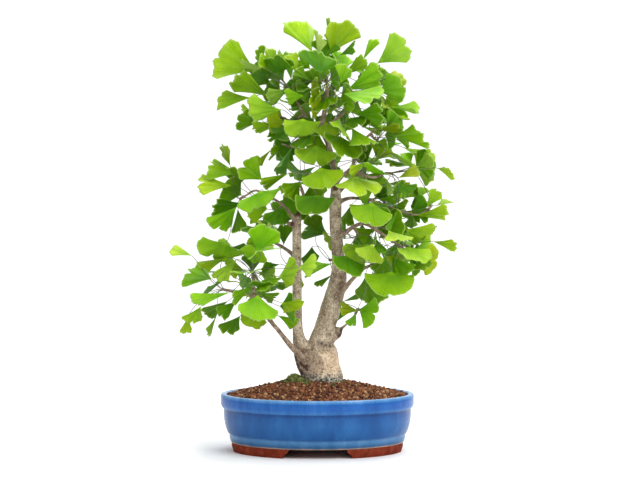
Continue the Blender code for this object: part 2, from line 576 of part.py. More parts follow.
def place_leaf(shoot, wish, fixed, foreign):
    """Try depths and stalk bends in turn until one keeps clear, and keep that leaf."""
    middle = shoot.foot.lerp(shoot.tip, 0.45 + 0.45 * (len(shoot.leaves) % 3) / 2)
    for own in (shoot.shapes, ()):
        for step in DEPTH_STEPS:
            rng = random.Random(wish[3])
            if wish[2]:
                leaf = leaf_from_corners(wish[0], wish[1] + step, wish[2], rng)
            else:
                leaf = leaf_behind(shoot.root, wish[0] + Vector((0, 0, step / 30)), rng)
            short = [leaf.base - leaf.heading * 3, leaf.base]
            blade = tree_of(leaf_solid(leaf, short, CLEAR_THICKNESS))
            if meets(blade, fixed) or meets(blade, foreign) or meets(blade, own):
                continue
            away = leaf.base - middle
            away = (away - shoot.out * away.dot(shoot.out)).normalized()
            start = middle + away * STALK_OFFSET
            for bend in STALK_BENDS:
                route = stalk_route(start, shoot.out, leaf, bend, STALK_STEPS)
                whole = tree_of(leaf_solid(leaf, route, CLEAR_THICKNESS))
                if meets(whole, fixed) or meets(whole, foreign):
                    continue
                outer = [route[0].lerp(route[1], OWN_SHARE)] + route[1:]
                free = tree_of(leaf_solid(leaf, outer, CLEAR_THICKNESS))
                if meets(free, own):
                    continue
                shoot.leaves.append(leaf)
                shoot.stalks.append(route)
                shoot.shapes.append(free)
                shoot.wholes.append(whole)
                return True
    return False


def material(name, colour, roughness):
    """A plain finish in the part's own colour."""
    finish = bpy.data.materials.new(name)
    finish.use_nodes = True
    shader = finish.node_tree.nodes["Principled BSDF"]
    shader.inputs["Base Color"].default_value = (*colour, 1)
    shader.inputs["Roughness"].default_value = roughness
    return finish


def add_object(name, bm, collection, finish=None):
    """A mesh built in millimetres, as an object in metres."""
    bmesh.ops.scale(bm, vec=(MM, MM, MM), verts=bm.verts)
    bmesh.ops.recalc_face_normals(bm, faces=bm.faces)
    if bm.calc_volume(signed=True) < 0:
        bmesh.ops.reverse_faces(bm, faces=bm.faces)
    mesh = bpy.data.meshes.new(name)
    bm.to_mesh(mesh)
    bm.free()
    obj = bpy.data.objects.new(name, mesh)
    collection.objects.link(obj)
    if finish:
        obj.data.materials.append(finish)
    return obj


def apply_modifiers(obj):
    """Replace an object's mesh with the one that its modifiers give."""
    depsgraph = bpy.context.evaluated_depsgraph_get()
    mesh = bpy.data.meshes.new_from_object(obj.evaluated_get(depsgraph))
    obj.modifiers.clear()
    obj.data = mesh


def cut(obj, cutters, operation="DIFFERENCE", solver="EXACT"):
    """Boolean with every object of a collection, applied, and the collection emptied."""
    boolean = obj.modifiers.new("joined", "BOOLEAN")
    boolean.operation = operation
    boolean.operand_type = "COLLECTION"
    boolean.collection = cutters
    boolean.solver = solver
    apply_modifiers(obj)
    for cutter in list(cutters.objects):
        bpy.data.objects.remove(cutter)


def oval_spin(profile):
    """A profile of insets and heights turned into an oval, with the same inset all the way round."""
    bm = bmesh.new()
    verts = [bm.verts.new((POT_HALF_WIDTH - inset, 0, height)) for inset, height in profile]
    edges = [bm.edges.new(pair) for pair in zip(verts, verts[1:])]
    bmesh.ops.spin(
        bm, geom=verts + edges, cent=(0, 0, 0), axis=(0, 0, 1), angle=math.tau, steps=POT_SIDES)
    bmesh.ops.remove_doubles(bm, verts=bm.verts, dist=0.01)
    for vert in bm.verts:
        radius = max(math.hypot(vert.co.x, vert.co.y), POT_HALF_WIDTH - DEEPEST_INSET)
        vert.co.y *= (POT_HALF_DEPTH - POT_HALF_WIDTH + radius) / radius
    return bm


def close_holes(bm):
    """Cap the open rings of a turned shape."""
    rims = [edge for edge in bm.edges if edge.is_boundary]
    if rims:
        bmesh.ops.holes_fill(bm, edges=rims)
    bmesh.ops.recalc_face_normals(bm, faces=bm.faces)
    return bm


def ogee_cutter(name, half, across, cutters):
    """A block with ogee sides that parts two feet, lying along Y or, turned, along X."""
    side = ((half, -1), (half - 0.6, 3), (half - 4, 6.5), (half - 7, 9), (half - 8, 13), (half - 8, 20))
    bm = bmesh.new()
    outline = [bm.verts.new((x, -200, z)) for x, z in side]
    outline += [bm.verts.new((-x, -200, z)) for x, z in reversed(side)]
    face = bm.faces.new(outline)
    far = bmesh.ops.extrude_face_region(bm, geom=[face])
    far_verts = [item for item in far["geom"] if isinstance(item, bmesh.types.BMVert)]
    bmesh.ops.translate(bm, verts=far_verts, vec=(0, 400, 0))
    if across:
        bmesh.ops.rotate(bm, verts=bm.verts, matrix=Matrix.Rotation(math.pi / 2, 3, "Z"))
    add_object(name, bm, cutters)


def cylinder_cutter(name, radius, low, high, x, y, cutters):
    bm = bmesh.new()
    bmesh.ops.create_cone(
        bm, cap_ends=True, segments=28, radius1=radius, radius2=radius, depth=high - low)
    bmesh.ops.translate(bm, verts=bm.verts, vec=(x, y, (low + high) / 2))
    add_object(name, bm, cutters)


def block(x_size, z_size, place):
    bm = bmesh.new()
    bmesh.ops.create_cube(bm, size=1)
    bmesh.ops.scale(bm, verts=bm.verts, vec=(x_size, x_size, z_size))
    bmesh.ops.translate(bm, verts=bm.verts, vec=place)
    return bm


def pot_object(collection, cutters, finish):
    """The fired body: turned rim, belly and ridge, four feet and two drain holes."""
    low, high = FOOT_INSET, FOOT_INSET + FOOT_WALL
    ring = oval_spin(((low, 0), (low - 0.8, 9), (low, 17), (high, 17), (high, 0), (low, 0)))
    feet = add_object("feet", ring, collection, finish)
    ogee_cutter("front gap", FRONT_GAP_HALF, False, cutters)
    ogee_cutter("side gap", SIDE_GAP_HALF, True, cutters)
    cut(feet, cutters)
    cutters.objects.link(feet)
    collection.objects.unlink(feet)
    pot = add_object("pot", close_holes(oval_spin(POT_INSIDE + POT_PROFILE)), collection, finish)
    cut(pot, cutters, "UNION")
    for side in (-1, 1):
        cylinder_cutter("drain hole", DRAIN_RADIUS, 5, 30, side * DRAIN_X, 0, cutters)
    cut(pot, cutters)
    pot.data.transform(Matrix.Translation((POT_X * MM, 0, 0)))


def soil_height(share):
    """Height of the mound at a share of the way out to the pot's wall."""
    return SOIL_EDGE + SOIL_RISE * (1 - share ** SOIL_POWER)


def soil_object(collection, cutters, finish):
    """The soil fills the pot, heaped up, with a plain hole for the stump and room for the screens."""
    wall = [(inset + GAP, height + GAP) for inset, height in POT_INSIDE[:4]]
    edge = wall[-1][0] - 1.2
    wall.append((edge, SOIL_EDGE))
    reach = POT_HALF_WIDTH - edge
    wall += [(edge + reach * (1 - share), soil_height(share)) for share in SOIL_RINGS[::-1]]
    bm = close_holes(oval_spin(wall))
    for vert in bm.verts:
        if vert.co.z > SOIL_EDGE + 1:
            bump = math.sin(0.31 * vert.co.x + 1.3) * math.sin(0.37 * vert.co.y) + math.sin(0.9 * vert.co.x)
            vert.co.z += GRAIN_RELIEF * bump / 2
    soil = add_object("soil", bm, collection, finish)
    x, y, radius = TRUNK_HOLE
    cylinder_cutter("stump hole", radius, STUMP_BOTTOM - GAP, 140, x - POT_X, y, cutters)
    for side in (-1, 1):
        place = (side * DRAIN_X, 0, FLOOR_TOP)
        room = SCREEN_SIDE + 2 * GAP
        height = 2 * (SCREEN_THICKNESS + 2 * GAP)
        add_object("screen room", block(room, height, place), cutters)
    cut(soil, cutters)
    soil.data.transform(Matrix.Translation((POT_X * MM, 0, 0)))


def screen_object(name, side, collection, cutters, finish):
    """A square of stiff plastic mesh over a drain hole."""
    centre = Vector((POT_X + side * DRAIN_X, 0, FLOOR_TOP + GAP + SCREEN_THICKNESS / 2))
    screen = add_object(name, block(SCREEN_SIDE, SCREEN_THICKNESS, centre), collection, finish)
    pitch = SCREEN_SIDE / (SCREEN_CELLS + 0.25)
    for column in range(SCREEN_CELLS):
        for row in range(SCREEN_CELLS):
            middle = (SCREEN_CELLS - 1) / 2
            place = centre + Vector(((column - middle) * pitch, (row - middle) * pitch, 0))
            add_object("mesh opening", block(SCREEN_HOLE, 9, place), cutters)
    cut(screen, cutters)


def tree_object(collection, cutters, finish):
    """Both trunks, the branches and the stubs of the shoots, grown together as one body."""
    pieces = limbs()
    _, sides, route, radii = pieces[0]
    tree = add_object("tree_wood", bent_rod(route, radii, sides), collection, finish)
    for name, sides, route, radii in pieces[1:]:
        add_object(name, bent_rod(route, radii, sides), cutters)
    cut(tree, cutters, "UNION", UNION_SOLVER)


def spray_object(shoot, collection, cutters, finish):
    """One bunch: the bud with every stalk and blade that it carries, joined."""
    spray = add_object("spray_" + shoot.name, shoot.spur(), collection, finish)
    for leaf, route in zip(shoot.leaves, shoot.stalks):
        add_object("leaf", leaf_solid(leaf, route, BLADE_THICKNESS), cutters)
    cut(spray, cutters, "UNION", UNION_SOLVER)


def build():
    for obj in list(bpy.data.objects):
        bpy.data.objects.remove(obj)
    bonsai = bpy.data.collections.new("ginkgo bonsai")
    cutters = bpy.data.collections.new("cutters")
    bpy.context.scene.collection.children.link(bonsai)
    bpy.context.scene.collection.children.link(cutters)
    glaze = material("blue glaze", (0.05, 0.17, 0.48), 0.3)
    earth = material("baked clay grains", (0.22, 0.08, 0.04), 0.95)
    bark = material("bark", (0.33, 0.25, 0.18), 0.85)
    green = material("leaf", (0.2, 0.42, 0.03), 0.45)
    plastic = material("drainage mesh", (0.02, 0.02, 0.02), 0.6)
    pot_object(bonsai, cutters, glaze)
    soil_object(bonsai, cutters, earth)
    screen_object("drain_screen_left", -1, bonsai, cutters, plastic)
    screen_object("drain_screen_right", 1, bonsai, cutters, plastic)
    shoots = [Shoot(name, place) for name, place in SHOOTS]
    settle(shoots)
    tree_object(bonsai, cutters, bark)
    for shoot in shoots:
        if shoot.leaves:
            spray_object(shoot, bonsai, cutters, green)
    to_middle = Matrix.Translation((-MIDDLE[0] * MM, -MIDDLE[1] * MM, 0))
    for piece in bonsai.objects:
        piece.data.transform(to_middle)


build()
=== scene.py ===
"""The looks of a ginkgo bonsai in its oval glazed pot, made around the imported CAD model.

The front is -Y. Each piece is laid out in millimetres, measured from the ground under the tree's root,
and finished() turns it into metres over the middle of the frame, where the CAD stands.
"""

import json
import math
import random

import bmesh
import bpy
from mathutils import Matrix, Vector, kdtree, noise
from mathutils.bvhtree import BVHTree

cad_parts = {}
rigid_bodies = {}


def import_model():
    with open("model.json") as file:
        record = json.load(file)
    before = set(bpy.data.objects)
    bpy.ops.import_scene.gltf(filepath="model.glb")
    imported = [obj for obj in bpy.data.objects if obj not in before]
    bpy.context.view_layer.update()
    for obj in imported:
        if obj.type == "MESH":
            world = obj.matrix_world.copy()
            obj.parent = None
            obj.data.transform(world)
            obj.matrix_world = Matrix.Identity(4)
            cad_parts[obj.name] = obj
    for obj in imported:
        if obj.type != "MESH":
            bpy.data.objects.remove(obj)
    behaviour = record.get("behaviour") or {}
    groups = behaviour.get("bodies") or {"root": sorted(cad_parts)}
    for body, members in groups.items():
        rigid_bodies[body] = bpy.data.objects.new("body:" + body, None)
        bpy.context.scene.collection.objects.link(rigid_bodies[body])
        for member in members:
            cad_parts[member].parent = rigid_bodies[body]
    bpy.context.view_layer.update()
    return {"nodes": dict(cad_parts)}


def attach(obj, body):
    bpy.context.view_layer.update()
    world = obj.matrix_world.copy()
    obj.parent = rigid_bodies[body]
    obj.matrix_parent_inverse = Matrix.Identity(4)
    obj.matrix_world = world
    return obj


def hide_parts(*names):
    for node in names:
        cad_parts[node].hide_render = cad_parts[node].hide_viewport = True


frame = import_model()

# The pot is one piece of fired clay, turned as an oval with a rim band, a belly and a low ridge.
# It is dipped in blue glaze, which runs thin and pale over every edge, and it stands on four bare
# terracotta cloud feet. The pale top of the rim is partly a painted highlight, and a dark line under the
# rim band is painted shade. Two drain holes go through its floor.
MM = 0.001
# The middle of the frame, in millimetres from the tree's root
MIDDLE = Vector((1.6, 11.3, 0))
POT_X = 7.3
POT_HALF_WIDTH = 144.8
POT_HALF_DEPTH = 112.0
DEEPEST_INSET = 36.0
POT_STEPS = 160
# Profiles, as insets from the widest oval and heights: the outside goes down, the inside goes up.
POT_OUTSIDE = (
    (2.6, 85.0), (0.9, 84.5), (0.0, 82.8), (0.1, 76.0), (0.0, 70.0), (0.5, 67.8), (1.7, 65.6), (3.4, 63.8),
    (4.2, 62.2), (4.3, 59.0), (4.4, 54.0), (4.8, 48.0), (5.9, 41.0), (7.8, 34.0), (9.8, 28.6), (11.2, 26.4),
    (12.6, 25.4), (13.1, 24.0), (12.8, 22.2), (13.6, 18.0), (15.2, 13.4), (18.0, 13.0),
)
POT_INSIDE = (
    (24.0, 22.0), (20.0, 24.0), (17.0, 29.0), (12.0, 46.0), (10.6, 66.0), (8.6, 83.6), (7.0, 84.8),
    (4.6, 85.1))
SHARP_EDGE = 0.7
GLAZE_ENDS, GLAZE_TOP = 13.2, 0.0852
FOOT_OUTSIDE, FOOT_INSIDE, FOOT_TOP, FOOT_ROUNDING = 16.2, 33.2, 16.0, 1.1
# The cloud-shaped side of a foot, as steps out from the gap's half width and heights
FOOT_GAP_SIDE = (
    (0.0, -1.0), (-0.1, 1.0), (-0.9, 3.4), (-2.6, 5.4), (-4.4, 6.8), (-6.0, 8.0), (-7.2, 9.8), (-7.9, 12.6),
    (-8.0, 16.0))
FRONT_GAP_HALF, SIDE_GAP_HALF, GAP_REACH = 50.0, 24.0, 200.0
DRAIN_X, DRAIN_RADIUS, DRAIN_SIDES = 58.0, 11.0, 48
FLOOR_MIDDLE, DRAIN_LENGTH = 18.0, 26.0


def new_mesh(name, bm):
    """The bmesh written into a mesh and freed."""
    mesh = bpy.data.meshes.new(name)
    bm.to_mesh(mesh)
    bm.free()
    return mesh


def new_object(name, bm):
    """The bmesh as an object that stands in the scene."""
    made = bpy.data.objects.new(name, new_mesh(name, bm))
    bpy.context.scene.collection.objects.link(made)
    return made


def finished(name, bm, *materials):
    """A piece made in millimetres, as an object in metres that rides on the root body."""
    bmesh.ops.translate(bm, verts=bm.verts, vec=-MIDDLE)
    bmesh.ops.scale(bm, verts=bm.verts, vec=(MM, MM, MM))
    piece = new_object(name, bm)
    for material in materials:
        piece.data.materials.append(material)
    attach(piece, "root")
    return piece


def apply_modifier(piece, kind, **settings):
    """Work a modifier into the piece's mesh."""
    modifier = piece.modifiers.new(kind, kind)
    for setting, value in settings.items():
        setattr(modifier, setting, value)
    shape = piece.evaluated_get(bpy.context.evaluated_depsgraph_get())
    mesh = bpy.data.meshes.new_from_object(shape)
    piece.modifiers.clear()
    piece.data = mesh


def new_material(name, links):
    """A material with a Principled shader. links fills its nodes and is given (tree, shader)."""
    material = bpy.data.materials.new(name)
    material.use_nodes = True
    links(material.node_tree, material.node_tree.nodes["Principled BSDF"])
    return material


def feed(tree, socket, value):
    """Lead another node's output to a socket, or set the socket to a number, colour or vector."""
    if isinstance(value, bpy.types.NodeSocket):
        tree.links.new(value, socket)
    else:
        socket.default_value = value


def node(tree, kind, **settings):
    """A shader node. A setting is a property of the node, or an input's name, with _ for its spaces."""
    made = tree.nodes.new("ShaderNode" + kind)
    for setting, value in settings.items():
        if hasattr(made, setting):
            setattr(made, setting, value)
        else:
            feed(tree, made.inputs[setting.replace("_", " ")], value)
    return made


def maths(tree, operation, *values):
    """A reckoning with numbers or sockets."""
    made = node(tree, "Math", operation=operation)
    for socket, value in zip(made.inputs, values):
        feed(tree, socket, value)
    return made.outputs[0]


def ramp(tree, value, *stops):
    """A colour ramp over value, with stops given as (place, colour)."""
    made = node(tree, "ValToRGB", Fac=value)
    while len(made.color_ramp.elements) < len(stops):
        made.color_ramp.elements.new(0.5)
    for element, (place, colour) in zip(made.color_ramp.elements, stops):
        element.position = place
        element.color = (*colour, 1)
    return made.outputs["Color"]


def blended(tree, share, first, second, mode="MIX"):
    """Two colours mixed by a share. Each may be a socket."""
    mix = node(tree, "Mix", data_type="RGBA", blend_type=mode)
    for place, value in ((0, share), (6, first), (7, second)):
        feed(tree, mix.inputs[place], (*value, 1) if isinstance(value, tuple) else value)
    return mix.outputs[2]


def bumped(tree, shader, height, strength, distance):
    """A bump from a height, led to the shader's normal."""
    bump = node(tree, "Bump", Strength=strength, Distance=distance, Height=height)
    tree.links.new(bump.outputs["Normal"], shader.inputs["Normal"])


def mask_group(name, numbers):
    """A node group with a vector and numbers as inputs and a mask to put out: (group, inlet, outlet)."""
    group = bpy.data.node_groups.new(name, "ShaderNodeTree")
    group.interface.new_socket("Vector", in_out="INPUT", socket_type="NodeSocketVector")
    for label, value in numbers.items():
        socket = group.interface.new_socket(label, in_out="INPUT", socket_type="NodeSocketFloat")
        socket.default_value = value
    group.interface.new_socket("Mask", in_out="OUTPUT", socket_type="NodeSocketFloat")
    return group, group.nodes.new("NodeGroupInput").outputs, group.nodes.new("NodeGroupOutput").inputs


def mottle_group():
    """A node group: soft patches of two sizes, as 0 to 1, that change over the surface."""
    numbers = {"Patch Scale": 60.0, "Fleck Scale": 600.0, "Fleck Share": 0.4}
    group, inlet, outlet = mask_group("mottle", numbers)
    patches = node(group, "TexNoise", Vector=inlet["Vector"], Scale=inlet["Patch Scale"], Detail=3.0)
    flecks = node(group, "TexNoise", Vector=inlet["Vector"], Scale=inlet["Fleck Scale"], Detail=4.0)
    mix = node(group, "Mix", data_type="FLOAT")
    for place, value in ((0, inlet["Fleck Share"]), (2, patches.outputs["Fac"]), (3, flecks.outputs["Fac"])):
        feed(group, mix.inputs[place], value)
    feed(group, outlet["Mask"], mix.outputs[0])
    return group


MOTTLE = mottle_group()


def object_place(tree):
    """Where a point of the surface lies on the object, for patterns that don't slide."""
    return node(tree, "TexCoord").outputs["Object"]


def mottled(tree, vector, patch_scale, fleck_scale, fleck_share):
    """The mottle group placed in a material, with its own sizes."""
    sizes = {"Patch_Scale": patch_scale, "Fleck_Scale": fleck_scale, "Fleck_Share": fleck_share}
    return node(tree, "Group", node_tree=MOTTLE, Vector=vector, **sizes).outputs["Mask"]


def mottled_base(tree, shader, sizes, *stops):
    """A base colour that follows a mottle, as stops on a ramp. The mottle is returned for a bump."""
    mask = mottled(tree, object_place(tree), *sizes)
    tree.links.new(ramp(tree, mask, *stops), shader.inputs["Base Color"])
    return mask


def glaze_links(tree, shader):
    """Blue glaze: deep on the rim band, pale where it runs thin at the edges, faintly streaked down. Its pale
    rim top is partly a painted highlight, and the dark line under the rim's step is painted shade.
    """
    place = object_place(tree)
    height = node(tree, "SeparateXYZ", Vector=place).outputs["Z"]
    level = node(tree, "MapRange", Value=height, From_Max=GLAZE_TOP).outputs[0]
    # Painted light in the bands: the pale top of the rim is partly a painted highlight, and the dark line
    # under the rim band's step, at 0.745, is painted shade.
    glaze_bands_and_light = ramp(
        tree, level, (0.166, (0.26, 0.20, 0.17)), (0.186, (0.012, 0.085, 0.22)), (0.285, (0.060, 0.20, 0.42)),
        (0.325, (0.006, 0.080, 0.27)), (0.56, (0.009, 0.096, 0.31)), (0.68, (0.006, 0.078, 0.275)),
        (0.745, (0.003, 0.048, 0.20)), (0.775, (0.030, 0.15, 0.42)), (0.83, (0.009, 0.100, 0.38)),
        (0.93, (0.008, 0.095, 0.37)), (0.975, (0.075, 0.24, 0.52)), (1.0, (0.16, 0.34, 0.62)))
    streaks = node(tree, "Mapping", Vector=place, Scale=(1, 1, 0.22)).outputs[0]
    mask = mottled(tree, streaks, 55, 700, 0.35)
    uneven = ramp(tree, mask, (0.38, (0.62, 0.74, 0.80)), (0.5, (1, 1, 1)), (0.62, (2.2, 1.42, 1.2)))
    colour = blended(tree, 0.85, glaze_bands_and_light, uneven, "MULTIPLY")
    tree.links.new(colour, shader.inputs["Base Color"])
    gloss = ramp(tree, mask, (0.35, (0.34, 0.34, 0.34)), (0.65, (0.22, 0.22, 0.22)))
    tree.links.new(gloss, shader.inputs["Roughness"])
    shader.inputs["Specular IOR Level"].default_value = 0.22
    shader.inputs["Coat Weight"].default_value = 0.05
    shader.inputs["Coat Roughness"].default_value = 0.12
    bumped(tree, shader, mask, 0.25, 0.0006)


def terracotta_links(tree, shader):
    """Bare red clay, scraped smooth, with fine grit."""
    mask = mottled_base(
        tree, shader, (90, 1500, 0.5),
        (0.36, (0.105, 0.014, 0.005)), (0.52, (0.195, 0.027, 0.010)), (0.66, (0.30, 0.062, 0.030)))
    shader.inputs["Roughness"].default_value = 0.82
    shader.inputs["Specular IOR Level"].default_value = 0.12
    bumped(tree, shader, mask, 0.5, 0.0004)


def oval_spin(profile):
    """A profile of insets and heights turned into an oval, with the same inset all the way round."""
    bm = bmesh.new()
    verts = [bm.verts.new((POT_HALF_WIDTH - inset, 0, height)) for inset, height in profile]
    edges = [bm.edges.new(pair) for pair in zip(verts, verts[1:])]
    bmesh.ops.spin(bm, geom=verts + edges, cent=(0, 0, 0), axis=(0, 0, 1), angle=math.tau, steps=POT_STEPS)
    bmesh.ops.remove_doubles(bm, verts=bm.verts, dist=0.01)
    for vert in bm.verts:
        radius = max(math.hypot(vert.co.x, vert.co.y), POT_HALF_WIDTH - DEEPEST_INSET)
        vert.co.y *= (POT_HALF_DEPTH - POT_HALF_WIDTH + radius) / radius
    bmesh.ops.holes_fill(bm, edges=[edge for edge in bm.edges if edge.is_boundary])
    bmesh.ops.recalc_face_normals(bm, faces=bm.faces)
    return bm


def foot_gap(half, turned):
    """A long block with cloud-shaped sides that parts two feet."""
    bm = bmesh.new()
    outline = [bm.verts.new((half + x, -GAP_REACH, z)) for x, z in FOOT_GAP_SIDE]
    outline += [bm.verts.new((-half - x, -GAP_REACH, z)) for x, z in reversed(FOOT_GAP_SIDE)]
    made = bmesh.ops.extrude_face_region(bm, geom=[bm.faces.new(outline)])
    far = [item for item in made["geom"] if isinstance(item, bmesh.types.BMVert)]
    bmesh.ops.translate(bm, verts=far, vec=(0, 2 * GAP_REACH, 0))
    if turned:
        bmesh.ops.rotate(bm, verts=bm.verts, matrix=Matrix.Rotation(math.pi / 2, 3, "Z"))
    bmesh.ops.recalc_face_normals(bm, faces=bm.faces)
    return bm


def drain_bore(side):
    """A round rod that cuts one drain hole through the floor."""
    bm = bmesh.new()
    bmesh.ops.create_cone(
        bm, cap_ends=True, segments=DRAIN_SIDES, radius1=DRAIN_RADIUS, radius2=DRAIN_RADIUS,
        depth=DRAIN_LENGTH)
    bmesh.ops.translate(bm, verts=bm.verts, vec=(side * DRAIN_X, 0, FLOOR_MIDDLE))
    return bm


def combine(piece, tools, operation):
    """Join the piece with tool shapes, or cut it by them. The tools are then gone."""
    box = bpy.data.collections.new("tools")
    for tool in tools:
        box.objects.link(bpy.data.objects.new("tool", new_mesh("tool", tool)))
    apply_modifier(
        piece, "BOOLEAN", operation=operation, operand_type="COLLECTION", collection=box, solver="EXACT")
    for tool in list(box.objects):
        bpy.data.objects.remove(tool)
    bpy.data.collections.remove(box)


def opened(blank):
    """The mesh of an object, to go on with, and the object gone."""
    bm = bmesh.new()
    bm.from_mesh(blank.data)
    bpy.data.objects.remove(blank)
    return bm


def pot_feet():
    """The foot ring, parted by its four gaps and softened along every edge."""
    outer, inner = FOOT_OUTSIDE, FOOT_INSIDE
    side = ((outer + 1, 0), (outer, 1.2), (outer - 1, 9), (outer, FOOT_TOP), (inner, FOOT_TOP), (inner, 0))
    feet = new_object("feet", oval_spin(side))
    combine(feet, [foot_gap(FRONT_GAP_HALF, False), foot_gap(SIDE_GAP_HALF, True)], "DIFFERENCE")
    apply_modifier(
        feet, "BEVEL", width=FOOT_ROUNDING, segments=3, limit_method="ANGLE", angle_limit=SHARP_EDGE)
    return opened(feet)


def pot_mesh():
    """The bored body and its feet as one mesh, glazed down to the lower ridge and bare below it."""
    body = new_object("body", oval_spin(POT_INSIDE + POT_OUTSIDE))
    combine(body, [drain_bore(-1), drain_bore(1)], "DIFFERENCE")
    combine(body, [pot_feet()], "UNION")
    bm = opened(body)
    bmesh.ops.translate(bm, verts=bm.verts, vec=(POT_X, 0, 0))
    for face in bm.faces:
        face.smooth = True
        face.material_index = 1 if face.calc_center_median().z < GLAZE_ENDS else 0
    for edge in bm.edges:
        edge.smooth = edge.calc_face_angle(0) < SHARP_EDGE
    return bm


glaze = new_material("blue glaze", glaze_links)
terracotta = new_material("bare terracotta", terracotta_links)
pot = finished("glazed_pot", pot_mesh(), glaze, terracotta)
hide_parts("pot")


# Two squares of black plastic mesh lie over the drain holes, under the soil, and keep the grains in.
# The CAD solids have their shape, so they only take the finish of moulded polypropylene.
def screen_links(tree, shader):
    """Black plastic, dulled by fine dust."""
    mask = mottled_base(
        tree, shader, (300, 2500, 0.5), (0.3, (0.012, 0.012, 0.012)), (0.7, (0.030, 0.029, 0.027)))
    shader.inputs["Roughness"].default_value = 0.55
    bumped(tree, shader, mask, 0.3, 0.0002)


screen_plastic = new_material("screen plastic", screen_links)
for side_name in ("left", "right"):
    frame["nodes"]["drain_screen_" + side_name].data.materials[0] = screen_plastic


# The soil is baked clay in hard grains of 3 to 5 mm, heaped up to the foot of the tree.
# The CAD solid is the mass of it. Loose grains lie all over its top, each turned, squashed and tinted
# its own way, and a few lie on the others.
GRAIN_PITCH, GRAIN_ROW_SHARE = 4.3, 0.87
GRAIN_RADII = (1.6, 3.1)
GRAIN_ROUGHNESS = 0.13
LOOSE_SHARE, LOOSE_SIZE = 0.30, 0.85
# How far a grain's middle stands above the mound, in shares of its radius
SUNK_LIFT, LOOSE_LIFT = 0.05, 1.15
GRAIN_COLOURS = (
    (0.235, 0.078, 0.028), (0.160, 0.048, 0.019), (0.30, 0.115, 0.045), (0.100, 0.030, 0.014),
    (0.25, 0.095, 0.040), (0.185, 0.062, 0.026), (0.055, 0.020, 0.012), (0.35, 0.145, 0.060),
    (0.21, 0.070, 0.026), (0.50, 0.30, 0.15))
SOIL_SEED = 4
WALL_INSET = 11.0
STUMP_X = 11.5
STUMP_HALF_WIDTH, STUMP_HALF_DEPTH = 33.0, 26.0
STUMP_SHARE = 0.72
SKY = 150.0


def solid_in_mm(name):
    """A search tree of a CAD node, in millimetres from the root."""
    mesh = frame["nodes"][name].data
    verts = [vert.co / MM + MIDDLE for vert in mesh.vertices]
    return BVHTree.FromPolygons(verts, [tuple(face.vertices) for face in mesh.polygons])


def ground_under(solid, x, y):
    """Where a plumb line meets the top of a solid, or none beside it."""
    return solid.ray_cast(Vector((x, y, SKY)), Vector((0, 0, -1)))[0]


def oval_share(x, y, half_width, half_depth):
    """0 in the middle of an oval, 1 on its edge."""
    return (x / half_width) ** 2 + (y / half_depth) ** 2


def grain_shape(bm, place, radius, rng, colour, layer):
    """One grain: a rough ball, squashed and turned, in its own colour."""
    squash = Matrix.Diagonal((rng.uniform(0.85, 1.25), rng.uniform(0.8, 1.1), rng.uniform(0.7, 1.0)))
    turn = Matrix.Rotation(rng.uniform(0, math.tau), 3, Vector((rng.random(), rng.random(), 0.3)))
    made = bmesh.ops.create_icosphere(bm, subdivisions=1, radius=radius)
    for vert in made["verts"]:
        rough = 1 + rng.uniform(-GRAIN_ROUGHNESS, GRAIN_ROUGHNESS)
        vert.co = place + turn @ squash @ (vert.co * rough)
        vert[layer] = (*colour, 1)


def grain_places(rng):
    """Rows of a jittered net over the mound, and strays on it, between the pot's wall and the stump."""
    top = solid_in_mm("soil")
    row_pitch = GRAIN_PITCH * GRAIN_ROW_SHARE
    rows = int(POT_HALF_DEPTH / row_pitch) + 1
    columns = int(POT_HALF_WIDTH / GRAIN_PITCH) + 1
    for row in range(-rows, rows + 1):
        for column in range(-columns, columns + 1):
            for lift in (0, 1):
                if lift and rng.random() > LOOSE_SHARE:
                    continue
                x = (column + 0.5 * (row % 2)) * GRAIN_PITCH + rng.uniform(-1, 1)
                y = row * row_pitch + rng.uniform(-1, 1)
                if oval_share(x, y, POT_HALF_WIDTH - WALL_INSET, POT_HALF_DEPTH - WALL_INSET) > 1:
                    continue
                x += POT_X
                if oval_share(x - STUMP_X, y, STUMP_HALF_WIDTH, STUMP_HALF_DEPTH) < STUMP_SHARE:
                    continue
                hit = ground_under(top, x, y)
                if hit:
                    yield hit, lift


def soil_grains():
    """All the grains, in a front and a back half."""
    rng = random.Random(SOIL_SEED)
    halves = {"front": bmesh.new(), "back": bmesh.new()}
    layers = {half: bm.verts.layers.float_color.new("grain") for half, bm in halves.items()}
    for hit, lift in grain_places(rng):
        half = "front" if hit.y < 0 else "back"
        radius = rng.uniform(*GRAIN_RADII) * (LOOSE_SIZE if lift else 1)
        shade = rng.uniform(0.75, 1.2)
        colour = [share * shade for share in rng.choice(GRAIN_COLOURS)]
        place = hit + Vector((0, 0, radius * (LOOSE_LIFT if lift else SUNK_LIFT)))
        grain_shape(halves[half], place, radius, rng, colour, layers[half])
    return halves


def soil_links(tree, shader):
    """Fired clay, matt and porous, in the colour that each grain carries."""
    own = node(tree, "Attribute", attribute_name="grain").outputs["Color"]
    mask = mottled(tree, object_place(tree), 400, 2600, 0.5)
    pores = ramp(tree, mask, (0.35, (0.72, 0.70, 0.68)), (0.6, (1.15, 1.15, 1.15)))
    tree.links.new(blended(tree, 0.9, own, pores, "MULTIPLY"), shader.inputs["Base Color"])
    shader.inputs["Roughness"].default_value = 0.9
    bumped(tree, shader, mask, 0.6, 0.0003)


def bed_links(tree, shader):
    """The same clay in the shade between the grains."""
    mask = mottled_base(
        tree, shader, (250, 1200, 0.5), (0.35, (0.035, 0.014, 0.008)), (0.65, (0.12, 0.040, 0.018)))
    shader.inputs["Roughness"].default_value = 0.95
    bumped(tree, shader, mask, 0.8, 0.0008)


frame["nodes"]["soil"].data.materials[0] = new_material("soil bed", bed_links)
baked_clay = new_material("baked clay grains", soil_links)
for half, grains in soil_grains().items():
    piece = finished("soil_grains_" + half, grains, baked_clay)


